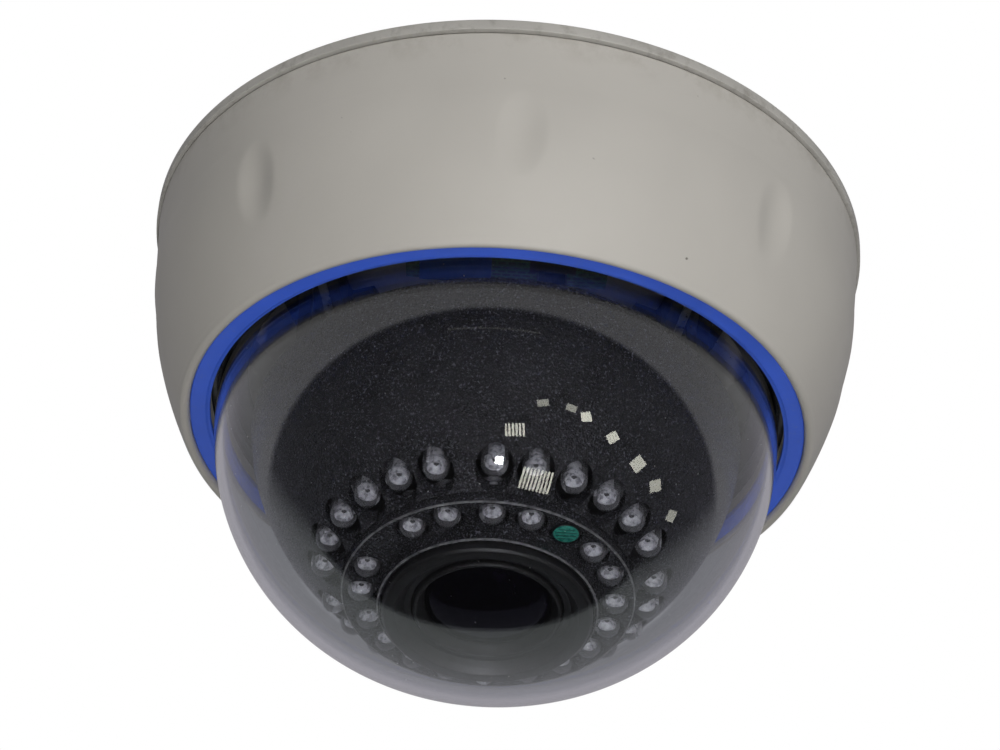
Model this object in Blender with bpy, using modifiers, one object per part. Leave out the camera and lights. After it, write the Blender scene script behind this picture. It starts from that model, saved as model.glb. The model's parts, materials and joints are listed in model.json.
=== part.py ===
"""Dome security camera for a ceiling: a round housing with a clear dome, and inside it a ball that pans, tilts
and rolls, with a varifocal lens and two rows of infrared lamps. Metres, +Z up, origin on the ceiling face."""

import math

import bmesh
import bpy
import numpy as np
from mathutils import Matrix, Vector

MM = 0.001

# Heights named with H are above the trim ring's face, the way the housing is drawn.
RING_Z = -44.0  # trim ring's face
GAP = 0.3  # between pieces that touch
MOVE_GAP = 0.4  # between pieces that turn on each other

# Sides of the turned shapes
WIDE_SIDES = 36
MIDDLE_SIDES = 24
LENS_SIDES = 18
SMALL_SIDES = 12
SCREW_SIDES = 8

# Base
BASE_R = 70.2
BASE_T = 2.6
GASKET_R = (67.1, 68.5)
GASKET_T = 0.7
CABLE_Y = 20.0
CABLE_HOLE_R = 8.5
GROMMET_R = 5.0
SLOT_R = 53.0
SPIGOT_R = (61.4, 63.0)
SPIGOT_BOTTOM = -9.7
HOOK_R = 65.9
LUG_R = 64.2
LUG_W = 16.0
LUG_COUNT = 3

# Cover
HOUSING_TOP_R = 69.6
HOUSING_SIDE_R = 68.9
HOUSING_SIDE_H = 30.0
LIP_R = 60.7
LIP_H = -1.0
CURVE_POWER = 1.85
WALL = 2.4
RECESS_R = 59.4
RING_R = (55.1, 59.0)
RING_T = 1.5
SEAT_R = 55.2
SEAT_H = (1.8, 4.2)
DIMPLE_COUNT = 8
DIMPLE_TURN = 1.7
DIMPLE_H = 16.0
DOME_R = 54.0
DOME_T = 1.6
DOME_EDGE_H = 0.0
DOME_DEPTH = 50.4
DOME_POWER = 2.1  # a little squarer than an ellipse
DOME_ARC_POINTS = 10
DOME_FLANGE_R = 57.2
DOME_FLANGE_H = (5.4, 7.0)
SEAL_R = (55.5, 57.0)
RETAINER_R = (49.0, 61.5)
RETAINER_H = (7.6, 9.2)
RETAINER_SCREW_R = 59.6
BOSS_R = 2.3

# Swivel
PAN = 4.5
YOKE_R = (36.0, 46.5)
YOKE_Z = (-7.8, -5.4)
SEAT_FLANGE_Z = (-4.9, -2.9)
SEAT_SPIGOT_R = (33.2, 35.6)
SEAT_SPIGOT_BOTTOM = -10.6
CLIP_R = (35.9, 37.6)
ARM_X = (38.0, 40.4)
ARM_HALF_W = 6.0

# Ball: in its own frame Z runs forward along the lens axis from the ball's centre.
BALL_H = 3.5
TILT = 7.4
BALL_R = 47.6
BALL_LONG = 50.0  # half length along the lens
BALL_T = 2.0
BALL_RIM = 8.2
BALL_MOUTH_R = 27.0
EAR_X = (35.3, 37.4)
CRADLE_R = (31.0, 37.5)
CRADLE_L = (5.4, 8.2)
EYE_BASE_R = (20.0, 43.8)
EYE_BASE_L = (8.6, 10.6)
EYE_SPIGOT_R = (28.6, 30.6)
CLAMP_R = 34.4
CLAMP_L = (2.8, 5.0)

# Lamps
LAMP_R = 2.5
LAMP_FLANGE_R = 2.8
ROW_START = 25.0
OUTER_ROW_R = 30.1
OUTER_TIP_L = 39.9
OUTER_BOARD_R = (24.0, 33.9)
OUTER_BOARD_L = (29.6, 31.2)
OUTER_PER_QUARTER = 6
OUTER_PITCH = 14.0
INNER_ROW_R = 23.1
INNER_TIP_L = 45.0
INNER_BOARD_R = (19.8, 25.4)
INNER_BOARD_L = (35.0, 36.6)
INNER_PER_QUARTER = 5
INNER_PITCH = 17.5
PHOTOCELL_PLACE = (0, 2)
EMPTY_PLACE = (1, 2)
PHOTOCELL_L = 43.4
CAP_R = (19.4, 26.6)
CAP_L = (39.2, 43.4)
CAP_LIP_R = 20.0
CAP_LIP_L = 46.4

# Lens
HOOD_R = 19.1
HOOD_L = (38.2, 48.0)
HOOD_FACE_R = 16.0  # where the flat front face ends and the groove round the barrel begins
HOOD_GROOVE_L = 46.0
FRONT_BARREL_R = 13.6
FRONT_FACE_L = 46.8
GLASS_SEAT_L = 42.0
GLASS_EDGE_L = 44.4
GLASS_BULGE = 2.6
BARREL_R = 13.2
FOCUS_R = 16.2
ZOOM_L = (16.8, 22.0)
FOCUS_L = (24.4, 29.8)
GLASS_R = 11.4


def clear_scene():
    """Removes every object, so that the script can be run again."""
    for item in list(bpy.data.objects):
        bpy.data.objects.remove(item, do_unlink=True)


def new_collection(name):
    """A collection linked to the scene."""
    made = bpy.data.collections.new(name)
    bpy.context.scene.collection.children.link(made)
    return made


def material(name, color, roughness, metallic=0.0, transmission=0.0):
    """A Principled material, made once per name."""
    if name in bpy.data.materials:
        return bpy.data.materials[name]
    made = bpy.data.materials.new(name)
    made.use_nodes = True
    shader = made.node_tree.nodes["Principled BSDF"]
    shader.inputs["Base Color"].default_value = (*color, 1.0)
    shader.inputs["Roughness"].default_value = roughness
    shader.inputs["Metallic"].default_value = metallic
    shader.inputs["Transmission Weight"].default_value = transmission
    return made


def housing_paint():
    return material("housing_plastic", (0.58, 0.56, 0.51), 0.5)


def base_metal():
    return material("base_metal", (0.55, 0.55, 0.54), 0.45, 0.6)


def blue_plastic():
    return material("blue_plastic", (0.025, 0.07, 0.45), 0.45)


def black_plastic():
    return material("black_plastic", (0.015, 0.015, 0.015), 0.4)


def dark_metal():
    return material("dark_metal", (0.04, 0.04, 0.045), 0.4, 0.5)


def steel():
    return material("steel", (0.6, 0.6, 0.6), 0.3, 1.0)


def black_rubber():
    return material("black_rubber", (0.02, 0.02, 0.02), 0.8)


def clear_plastic():
    return material("clear_plastic", (0.85, 0.85, 0.87), 0.03, 0.0, 1.0)


def glass():
    return material("glass", (0.2, 0.22, 0.3), 0.02, 0.0, 0.8)


def circuit_board():
    return material("circuit_board", (0.02, 0.12, 0.05), 0.5)


def lamp_plastic():
    return material("lamp_plastic", (0.7, 0.7, 0.75), 0.1, 0.0, 0.6)


def cell_face():
    return material("cell_face", (0.05, 0.3, 0.2), 0.4)


def add_object(name, mesh, look, parent=None, cutter=False):
    """Links a mesh as an object, in the parts collection or as a hidden cutter."""
    made = bpy.data.objects.new(name, mesh)
    (CUTTERS if cutter else PARTS).objects.link(made)
    made.parent = parent
    if cutter:
        made.hide_render = True
        made.display_type = "WIRE"
    if look is not None:
        made.data.materials.append(look)
    return made


def finish_mesh(name, work):
    """A mesh made from a bmesh, with smooth round sides."""
    mesh = bpy.data.meshes.new(name)
    work.to_mesh(mesh)
    work.free()
    mesh.shade_smooth()
    mesh.set_sharp_from_angle(angle=math.radians(35))
    return mesh


def arc(center, radii, start, end, count):
    """Points of an elliptical arc, with angles in degrees from +R toward +Z."""
    turns = np.radians(np.linspace(start, end, count))
    return [(center[0] + radii[0] * math.cos(a), center[1] + radii[1] * math.sin(a)) for a in turns]


def turned_mesh(name, outline, steps):
    """A turned shape: outline of (radius, height) in mm, turned about Z by a Screw modifier and applied."""
    points = list(outline)
    doubled = sum(a[0] * b[1] - b[0] * a[1] for a, b in zip(points, points[1:] + points[:1]))
    if doubled > 0:
        points.reverse()
    on_axis = [i for i, point in enumerate(points) if point[0] == 0]
    closed = not on_axis
    if on_axis:
        turn = next(i for i in on_axis if (i + 1) % len(points) not in on_axis)
        points = points[turn:] + points[:turn]
    mesh = bpy.data.meshes.new(name + "_outline")
    edges = [(i, i + 1) for i in range(len(points) - 1)]
    if closed:
        edges.append((len(points) - 1, 0))
    mesh.from_pydata([(r * MM, 0.0, z * MM) for r, z in points], edges, [])
    holder = bpy.data.objects.new(name + "_outline", mesh)
    bpy.context.scene.collection.objects.link(holder)
    screw = holder.modifiers.new("Screw", "SCREW")
    screw.steps = steps
    screw.render_steps = steps
    screw.use_merge_vertices = True
    screw.merge_threshold = 0.00001
    bpy.context.view_layer.update()
    seen = holder.evaluated_get(bpy.context.evaluated_depsgraph_get())
    made = bpy.data.meshes.new_from_object(seen)
    made.name = name
    bpy.data.objects.remove(holder, do_unlink=True)
    bpy.data.meshes.remove(mesh)
    made.shade_smooth()
    made.set_sharp_from_angle(angle=math.radians(35))
    return made


def turned(name, outline, look, parent=None, steps=LENS_SIDES, place=(0, 0, 0)):
    """A turned part at a place in its parent's frame, in mm."""
    made = add_object(name, turned_mesh(name, outline, steps), look, parent)
    made.location = Vector(place) * MM
    return made


def ring(name, radii, heights, look, parent=None, steps=LENS_SIDES):
    """A flat ring between two radii and two heights."""
    inner, outer = radii
    bottom, top = heights
    outline = [(outer, top), (outer, bottom), (inner, bottom), (inner, top)]
    return turned(name, outline, look, parent, steps)


def box(name, size, center, look=None, parent=None, turn=0.0, cutter=False):
    """A box of a size at a place in mm, turned about Z by degrees about its parent's origin."""
    work = bmesh.new()
    bmesh.ops.create_cube(work, size=1.0)
    bmesh.ops.scale(work, vec=Vector(size) * MM, verts=work.verts)
    bmesh.ops.translate(work, vec=Vector(center) * MM, verts=work.verts)
    made = add_object(name, finish_mesh(name, work), look, parent, cutter)
    made.rotation_euler = (0.0, 0.0, math.radians(turn))
    return made


def rods(name, radius, bottom, top, places, parent=None, sides=SCREW_SIDES, along_x=False):
    """Hidden shape of equal upright rods at (x, y) places, for a cut or a union."""
    work = bmesh.new()
    for x, y in places:
        made = bmesh.ops.create_cone(
            work, cap_ends=True, segments=sides, radius1=radius * MM, radius2=radius * MM, depth=(top - bottom) * MM
        )
        move = Vector((x, y, (top + bottom) / 2)) * MM
        bmesh.ops.translate(work, vec=move, verts=made["verts"])
    made = add_object(name, finish_mesh(name, work), None, parent, True)
    if along_x:
        made.rotation_euler = (0.0, math.radians(90), 0.0)
    return made


def combine(target, tool, operation):
    """Adds a Boolean modifier to the target."""
    change = target.modifiers.new(tool.name, "BOOLEAN")
    change.object = tool
    change.operation = operation
    change.solver = "EXACT"


def cut(target, *tools):
    for tool in tools:
        combine(target, tool, "DIFFERENCE")


def join(target, *tools):
    for tool in tools:
        combine(target, tool, "UNION")


def round_places(radius, angles):
    """(x, y) places on a circle at angles in degrees."""
    return [(radius * math.cos(math.radians(a)), radius * math.sin(math.radians(a))) for a in angles]


def even_angles(count, start=0.0):
    return [start + 360.0 * i / count for i in range(count)]


def screw_part(name, place, head, shaft, look, parent, flip=False):
    """A pan-head screw: head (radius, height) above its place, or below it when flipped, and shaft (radius, length)."""
    head_r, head_t = head
    shaft_r, shaft_l = shaft
    side = -1.0 if flip else 1.0
    outline = [
        (0, side * head_t),
        (head_r * 0.7, side * head_t),
        (head_r, side * head_t * 0.45),
        (head_r, 0),
        (shaft_r, 0),
        (shaft_r, -side * shaft_l),
        (0, -side * shaft_l),
    ]
    return turned(name, outline, look, parent, SCREW_SIDES, place)


def empty(name, parent=None, location=(0, 0, 0), rotation=(0, 0, 0)):
    """A joint's frame, with location in mm and rotation in degrees."""
    made = bpy.data.objects.new(name, None)
    PARTS.objects.link(made)
    made.parent = parent
    made.location = Vector(location) * MM
    made.rotation_euler = [math.radians(a) for a in rotation]
    made.hide_render = True
    return made


# ---- base ----


def base_plate():
    """Round plate with a spigot, bayonet hooks, a gasket groove, a cable hole and ceiling screw slots."""
    groove_inner = GASKET_R[0] - GAP
    groove_outer = GASKET_R[1] + GAP
    groove_bottom = -GASKET_T - GAP
    inner, outer = SPIGOT_R
    outline = [
        (0, 0),
        (groove_inner, 0),
        (groove_inner, groove_bottom),
        (groove_outer, groove_bottom),
        (groove_outer, 0),
        (BASE_R - 0.5, 0),
        (BASE_R, -0.5),
        (BASE_R, -BASE_T),
        (outer, -BASE_T),
        (outer, SPIGOT_BOTTOM),
        (inner, SPIGOT_BOTTOM),
        (inner, -BASE_T),
        (0, -BASE_T),
    ]
    plate = turned("base_plate", outline, base_metal(), None, WIDE_SIDES)
    hook_inner = (inner + outer) / 2
    for index, angle in enumerate(even_angles(LUG_COUNT, 30.0)):
        middle = ((hook_inner + HOOK_R) / 2, 0, SPIGOT_BOTTOM + 1.0)
        join(plate, box(f"hook_{index}", (HOOK_R - hook_inner, LUG_W, 2.0), middle, turn=angle, cutter=True))
    join(plate, rods("board_bosses", 2.5, -5.6, -1.5, [(-15, -13), (15, -13)]))
    hole = rods("cable_hole", CABLE_HOLE_R, -6, 4, [(0, CABLE_Y)], sides=SMALL_SIDES)
    cut(plate, hole)
    slots = even_angles(LUG_COUNT, 90.0)
    for index, angle in enumerate(slots):
        cut(plate, box(f"slot_{index}", (4.5, 12, 8), (SLOT_R, 0, -1), turn=angle, cutter=True))
    return plate


def cable_grommet():
    """Rubber sleeve in the cable hole, open through the middle."""
    sleeve_r = CABLE_HOLE_R - GAP
    flange_z = -BASE_T - GAP
    outline = [
        (sleeve_r, -GAP),
        (sleeve_r, flange_z),
        (sleeve_r + 2.4, flange_z),
        (sleeve_r + 2.4, flange_z - 1.5),
        (GROMMET_R, flange_z - 1.5),
        (GROMMET_R, -GAP),
    ]
    turned("cable_grommet", outline, black_rubber(), None, SMALL_SIDES, (0, CABLE_Y, 0))


def swivel_seat():
    """Fixed ring that the yoke turns on, with three ears for its screws."""
    inner, outer = SEAT_SPIGOT_R
    bottom, top = SEAT_FLANGE_Z
    outline = [
        (YOKE_R[1], top),
        (YOKE_R[1], bottom),
        (outer, bottom),
        (outer, SEAT_SPIGOT_BOTTOM),
        (inner, SEAT_SPIGOT_BOTTOM),
        (inner, top),
    ]
    seat = turned("swivel_seat", outline, dark_metal(), None, MIDDLE_SIDES)
    ear_r = 30.0
    angles = (25.0, 155.0, 270.0)
    for index, angle in enumerate(angles):
        middle = (ear_r + 1.5, 0, (bottom + top) / 2)
        join(seat, box(f"seat_ear_{index}", (7.0, 7.0, top - bottom), middle, turn=angle, cutter=True))
    places = round_places(ear_r, angles)
    cut(seat, rods("seat_screw_holes", 1.6, -8, 0, places, sides=SCREW_SIDES))
    for index, (x, y) in enumerate(places):
        place = (x, y, bottom - GAP)
        screw_part(f"seat_screw_{index + 1}", place, (2.6, 1.6), (1.2, 1.9), steel(), None, True)


def power_unit():
    """Small supply and video board under the base plate, with its sockets."""
    box("power_board", (40, 24, 1.6), (0, -13, -6.8), circuit_board())
    box("terminal_block", (14, 8, 5.5), (-10, -12, -10.65), blue_plastic())
    box("video_socket", (9, 9, 5.0), (9, -16, -10.4), black_plastic())
    turned("board_capacitor", [(0, 0), (3, 0), (3, -5.5), (0, -5.5)], dark_metal(), None, SMALL_SIDES, (9, -6, -7.9))


# ---- cover ----


def housing_radius(height):
    """Outer radius at a height above the ring's face: curved near the lip, almost straight above."""
    rise = height - LIP_H
    span = HOUSING_SIDE_H - LIP_H
    if rise < span:
        return LIP_R + (HOUSING_SIDE_R - LIP_R) * (1 - (1 - rise / span) ** CURVE_POWER)
    above = (height - HOUSING_SIDE_H) / (-BASE_T - GAP - RING_Z - HOUSING_SIDE_H)
    return HOUSING_SIDE_R + (HOUSING_TOP_R - HOUSING_SIDE_R) * above


def housing_shell(parent):
    """Round housing with a lip, a dome seat, screw bosses, bayonet lugs and finger dimples."""
    top_h = -BASE_T - GAP - RING_Z
    outer = [(housing_radius(h), h) for h in (top_h, 30, 22, 14, 8, 4, 0.3)]
    lip = arc((RECESS_R + 0.9, LIP_H + 0.9), (0.9, 0.9), -30, -180, 4)
    inner = [(housing_radius(h) - WALL, h) for h in (SEAT_H[1], 10, 20, 30, top_h)]
    outline = outer + lip + [(RECESS_R, SEAT_H[0]), (SEAT_R, SEAT_H[0]), (SEAT_R, SEAT_H[1])] + inner
    outline = [(r, h + RING_Z) for r, h in outline]
    shell = turned("housing_shell", outline, housing_paint(), parent, WIDE_SIDES)
    boss_places = round_places(RETAINER_SCREW_R + GAP, even_angles(4, 45.0))
    boss_bottom = RING_Z + SEAT_H[1] - 1.0
    boss_top = RING_Z + RETAINER_H[0] - GAP
    join(shell, rods("retainer_bosses", BOSS_R, boss_bottom, boss_top, boss_places, parent, SCREW_SIDES))
    screw_places = round_places(RETAINER_SCREW_R, even_angles(4, 45.0))
    cut(shell, rods("boss_holes", 1.3, RING_Z + SEAT_H[1] + 0.6, RING_Z + 12, screw_places, parent, SCREW_SIDES))
    for index, angle in enumerate(even_angles(LUG_COUNT, 30.0)):
        middle = ((LUG_R + HOUSING_TOP_R - 1.2) / 2, 0, -6.2)
        lug = box(f"lug_{index}", (HOUSING_TOP_R - 1.2 - LUG_R, LUG_W, 2.0), middle, None, parent, angle, True)
        join(shell, lug)
    cut(shell, dimple_tool(parent))


def dimple_tool(parent):
    """Egg-shaped cutters around the housing, each leaning with the housing's side."""
    work = bmesh.new()
    depth = 1.0
    half = Vector((4.0, 7.5, 15.0))
    for angle in even_angles(DIMPLE_COUNT, DIMPLE_TURN - 90.0):
        made = bmesh.ops.create_uvsphere(work, u_segments=10, v_segments=8, radius=1.0)
        bmesh.ops.scale(work, vec=half * MM, verts=made["verts"])
        slope = housing_radius(DIMPLE_H + 6) - housing_radius(DIMPLE_H - 6)
        lean = math.atan2(slope, 12.0)
        turn = math.radians(angle)
        bmesh.ops.rotate(work, matrix=Matrix.Rotation(lean, 3, "Y"), verts=made["verts"])
        radius = housing_radius(DIMPLE_H) + half.x - depth
        bmesh.ops.translate(work, vec=Vector((radius, 0, RING_Z + DIMPLE_H)) * MM, verts=made["verts"])
        bmesh.ops.rotate(work, matrix=Matrix.Rotation(turn, 3, "Z"), verts=made["verts"])
    return add_object("dimples", finish_mesh("dimples", work), None, parent, True)


def dome_side(inset):
    """Outline of the dome from its edge to its pole: (r/R)^p + (depth/D)^p = 1, at an inset."""
    quarter = arc((0, 0), (1, 1), 0, -90, DOME_ARC_POINTS)
    share = 2 / DOME_POWER
    points = [(abs(c) ** share * (DOME_R - inset), -(abs(s) ** share) * (DOME_DEPTH - inset)) for c, s in quarter]
    points[-1] = (0, inset - DOME_DEPTH)
    return [(r, DOME_EDGE_H + h) for r, h in points]


def dome(parent):
    """Clear shell, with a flange that the retainer holds."""
    inner_r = DOME_R - DOME_T
    low, high = DOME_FLANGE_H
    outer, inner = dome_side(0), dome_side(DOME_T)[::-1]
    flange = [(inner_r, high), (DOME_FLANGE_R, high), (DOME_FLANGE_R, low), (DOME_R, low)]
    outline = [(r, h + RING_Z) for r, h in inner + flange + outer]
    turned("dome", outline, clear_plastic(), parent, WIDE_SIDES)


def dome_fixings(parent):
    """Seal under the dome's flange, and the ring and screws that hold it."""
    seal_h = (RING_Z + SEAT_H[1] + GAP, RING_Z + DOME_FLANGE_H[0] - GAP)
    ring("dome_seal", SEAL_R, seal_h, black_rubber(), parent, MIDDLE_SIDES)
    heights = (RING_Z + RETAINER_H[0], RING_Z + RETAINER_H[1])
    retainer = ring("dome_retainer", RETAINER_R, heights, black_plastic(), parent, WIDE_SIDES)
    places = round_places(RETAINER_SCREW_R, even_angles(4, 45.0))
    cut(retainer, rods("retainer_holes", 1.3, heights[0] - 2, heights[1] + 2, places, parent, SCREW_SIDES))
    for index, (x, y) in enumerate(places):
        place = (x, y, heights[1] + GAP)
        screw_part(f"retainer_screw_{index + 1}", place, (2.0, 1.5), (1.0, 4.0), steel(), parent)


# ---- swivel ----


def swivel_yoke(parent):
    """Ring with two arms that carry the ball's pivots."""
    inner, outer = YOKE_R
    low, high = YOKE_Z
    yoke = ring("swivel_yoke", (inner, outer), (low, high), dark_metal(), parent, MIDDLE_SIDES)
    pivot_z = RING_Z + BALL_H
    for side in (-1, 1):
        middle_x = side * (ARM_X[0] + ARM_X[1]) / 2
        arm_t = ARM_X[1] - ARM_X[0]
        size = (arm_t, 2 * ARM_HALF_W, low + 1.0 - pivot_z)
        join(yoke, box(f"arm_{side}", size, (middle_x, 0, (low + 1.0 + pivot_z) / 2), None, parent, 0, True))
        end = rods(f"arm_end_{side}", ARM_HALF_W, -arm_t / 2, arm_t / 2, [(0, 0)], parent, SMALL_SIDES, True)
        end.location = Vector((middle_x, 0, pivot_z)) * MM
        join(yoke, end)
    hole = rods("pivot_holes", 2.2, -60, 60, [(0, 0)], parent, SCREW_SIDES, True)
    hole.location = Vector((0, 0, pivot_z)) * MM
    cut(yoke, hole)
    lock_place = [(0, 42.5)]
    cut(yoke, rods("pan_lock_hole", 1.4, low - 2, high + 2, lock_place, parent, SCREW_SIDES))
    screw_part("pan_lock_screw", (0, 42.5, low - GAP), (2.2, 2.4), (1.0, 2.7), steel(), parent, True)


def pivot_screws(parent):
    """Two shoulder screws on the tilt axis, heads outside the yoke arms."""
    for side, name in ((-1, "pivot_screw_left"), (1, "pivot_screw_right")):
        place = (side * (ARM_X[1] + GAP), 0, RING_Z + BALL_H)
        made = screw_part(name, place, (4.0, 1.6), (1.8, 5.9), steel(), parent)
        made.rotation_euler = (0.0, math.radians(side * 90), 0.0)


def swivel_clip():
    """Clip on the seat's spigot that keeps the yoke up."""
    ring("swivel_clip", CLIP_R, (YOKE_Z[0] - GAP - 2.1, YOKE_Z[0] - MOVE_GAP), steel(), None, MIDDLE_SIDES)


# ---- ball ----


def cradle(parent):
    """Ring behind the ball with two ears on the tilt axis."""
    made = ring("cradle", CRADLE_R, CRADLE_L, dark_metal(), parent, MIDDLE_SIDES)
    ear_t = EAR_X[1] - EAR_X[0]
    for side in (-1, 1):
        middle_x = side * (EAR_X[0] + EAR_X[1]) / 2
        height = CRADLE_L[0] + 1.0
        join(made, box(f"ear_{side}", (ear_t, 12, height), (middle_x, 0, height / 2), None, parent, 0, True))
        end = rods(f"ear_end_{side}", 6.0, -ear_t / 2, ear_t / 2, [(0, 0)], parent, SMALL_SIDES, True)
        end.location = Vector((middle_x, 0, 0)) * MM
        join(made, end)
    cut(made, rods("ear_holes", 2.2, -60, 60, [(0, 0)], parent, SCREW_SIDES, True))


def eye_base(parent):
    """Disc that closes the ball's back, with a spigot that turns in the cradle."""
    low, high = EYE_BASE_L
    inner, outer = EYE_BASE_R
    outline = [
        (outer, high),
        (outer, low),
        (EYE_SPIGOT_R[1], low),
        (EYE_SPIGOT_R[1], CLAMP_L[1] + GAP),
        (EYE_SPIGOT_R[0], CLAMP_L[1] + GAP),
        (EYE_SPIGOT_R[0], low),
        (inner, low),
        (inner, high),
    ]
    turned("eye_base", outline, black_plastic(), parent, MIDDLE_SIDES)
    ring("roll_clamp", (EYE_SPIGOT_R[0], CLAMP_R), CLAMP_L, black_plastic(), parent, LENS_SIDES)


def ball_points(inset, count):
    """Points of the ball's side from its back rim to its mouth, at an inset from its outside."""
    radius, length = BALL_R - inset, BALL_LONG - inset
    start = math.degrees(math.asin(BALL_RIM / length))
    end = math.degrees(math.acos(BALL_MOUTH_R / radius))
    return arc((0, 0), (radius, length), start, end, count)


def outer_angles():
    """Angles of the outer lamps: four groups of equal pitch, a wider space between groups."""
    return [ROW_START + 90 * q + OUTER_PITCH * k for q in range(4) for k in range(OUTER_PER_QUARTER)]


def inner_places():
    """(quarter, index) of every place in the inner row."""
    return [(q, k) for q in range(4) for k in range(INNER_PER_QUARTER)]


def inner_angle(place):
    return ROW_START + 90 * place[0] + INNER_PITCH * place[1]


def eye_shell(parent):
    """Black ball open at the back and the front, with a hole for each outer lamp."""
    outer = ball_points(0.0, 6)
    inner = ball_points(BALL_T, 6)
    shell = turned("eye_shell", outer + inner[::-1], black_plastic(), parent, WIDE_SIDES)
    places = round_places(OUTER_ROW_R, outer_angles())
    cut(shell, rods("shell_holes", LAMP_FLANGE_R, 31, 45, places, parent, SCREW_SIDES))


def lamp_cap(parent):
    """Raised front of the ball around the lens, with a hole for each inner lamp."""
    low, high = CAP_L
    inner, outer = CAP_R
    plate_low = high - 1.4
    outline = [
        (inner, CAP_LIP_L),
        (CAP_LIP_R, CAP_LIP_L),
        (CAP_LIP_R, high),
        (outer - 0.4, high),
        (outer, high - 0.4),
        (outer, low),
        (outer - 1.1, low),
        (outer - 1.1, plate_low),
        (inner, plate_low),
    ]
    cap = turned("lamp_cap", outline, black_plastic(), parent, MIDDLE_SIDES)
    places = [p for p in inner_places() if p != EMPTY_PLACE]
    spots = round_places(INNER_ROW_R, [inner_angle(p) for p in places])
    cut(cap, rods("cap_holes", LAMP_R + GAP, low - 1, CAP_LIP_L + 1, spots, parent, SCREW_SIDES))


def lamps_tool(name, radius, angles, board_top, tip, parent):
    """Hidden shape of a row of lamps: flange, body and domed tip on each."""
    work = bmesh.new()
    sides = SCREW_SIDES
    body_top = tip - LAMP_R
    for x, y in round_places(radius, angles):
        layers = [
            (LAMP_R, board_top - 0.5),
            (LAMP_R, body_top),
            (LAMP_R * 0.72, tip - LAMP_R * 0.3),
            (0.0, tip),
        ]
        for (r1, z1), (r2, z2) in zip(layers, layers[1:]):
            made = bmesh.ops.create_cone(
                work, cap_ends=False, segments=sides, radius1=r1 * MM, radius2=r2 * MM, depth=(z2 - z1) * MM
            )
            bmesh.ops.translate(work, vec=Vector((x, y, (z1 + z2) / 2)) * MM, verts=made["verts"])
    bmesh.ops.remove_doubles(work, verts=work.verts, dist=0.00001)
    bmesh.ops.holes_fill(work, edges=[e for e in work.edges if e.is_boundary], sides=sides)
    bmesh.ops.recalc_face_normals(work, faces=work.faces)
    return add_object(name, finish_mesh(name, work), None, parent, True)


def lamp_boards(parent):
    """Two ring boards with their soldered lamps, and the light sensor in the inner row."""
    outer = ring("outer_lamp_board", OUTER_BOARD_R, OUTER_BOARD_L, circuit_board(), parent, MIDDLE_SIDES)
    tool = lamps_tool("outer_lamps", OUTER_ROW_R, outer_angles(), OUTER_BOARD_L[1], OUTER_TIP_L, parent)
    join(outer, tool)
    inner = ring("inner_lamp_board", INNER_BOARD_R, INNER_BOARD_L, circuit_board(), parent, MIDDLE_SIDES)
    skipped = (PHOTOCELL_PLACE, EMPTY_PLACE)
    angles = [inner_angle(p) for p in inner_places() if p not in skipped]
    tool = lamps_tool("inner_lamps", INNER_ROW_R, angles, INNER_BOARD_L[1], INNER_TIP_L, parent)
    join(inner, tool)
    x, y = round_places(INNER_ROW_R, [inner_angle(PHOTOCELL_PLACE)])[0]
    low = INNER_BOARD_L[1] + GAP
    face = PHOTOCELL_L
    outline = [(0, face), (LAMP_R - 0.3, face), (LAMP_R, face - 0.4), (LAMP_R, low), (0, low)]
    turned("photocell", outline, cell_face(), parent, SMALL_SIDES, (x, y, 0))


# ---- lens ----


def lens_mount(parent):
    """Holder on the eye base, with the sensor and its boards behind it."""
    tube_inner, tube_outer = 14.2, 16.6
    flange = (EYE_BASE_L[1] + GAP, EYE_BASE_L[1] + GAP + 2.0)
    outline = [
        (tube_outer, 16.0),
        (tube_outer, flange[1]),
        (23.5, flange[1]),
        (23.5, flange[0]),
        (tube_outer, flange[0]),
        (tube_outer, 2.8),
        (tube_inner, 2.8),
        (tube_inner, 16.0),
    ]
    turned("lens_holder", outline, black_plastic(), parent, LENS_SIDES)
    box("sensor_board", (36, 36, 1.6), (0, 0, 1.7), circuit_board(), parent)
    box("image_sensor", (9, 8, 1.6), (0, 0, 3.6), dark_metal(), parent)
    box("processor_board", (36, 36, 1.6), (0, 0, -2.8), circuit_board(), parent)
    corners = [(-15, -15), (15, -15), (15, 15), (-15, 15)]
    for index, (x, y) in enumerate(corners):
        outline = [(0, 0.6), (2.2, 0.6), (2.2, -1.7), (0, -1.7)]
        turned(f"board_spacer_{index + 1}", outline, steel(), parent, 6, (x, y, 0))


def lens_barrel(parent):
    """Fixed barrel of the varifocal lens, screwed in the holder, with its rear glass."""
    outline = [
        (15.0, 31.2),
        (15.0, 30.2),
        (BARREL_R, 30.2),
        (BARREL_R, 24.0),
        (15.4, 24.0),
        (15.4, 22.4),
        (BARREL_R, 22.4),
        (BARREL_R, 16.4),
        (13.8, 16.4),
        (13.8, 6.5),
        (9.0, 6.5),
        (9.0, 12.0),
        (12.2, 12.0),
        (12.2, 31.2),
    ]
    turned("lens_barrel", outline, black_plastic(), parent, LENS_SIDES)
    bulge = arc((0, 9.6), (8.6, 1.6), 0, 90, 4)
    bulge[-1] = (0, 11.2)
    turned("rear_glass", bulge + [(0, 8.0), (8.6, 8.0)], glass(), parent, SMALL_SIDES)


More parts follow.
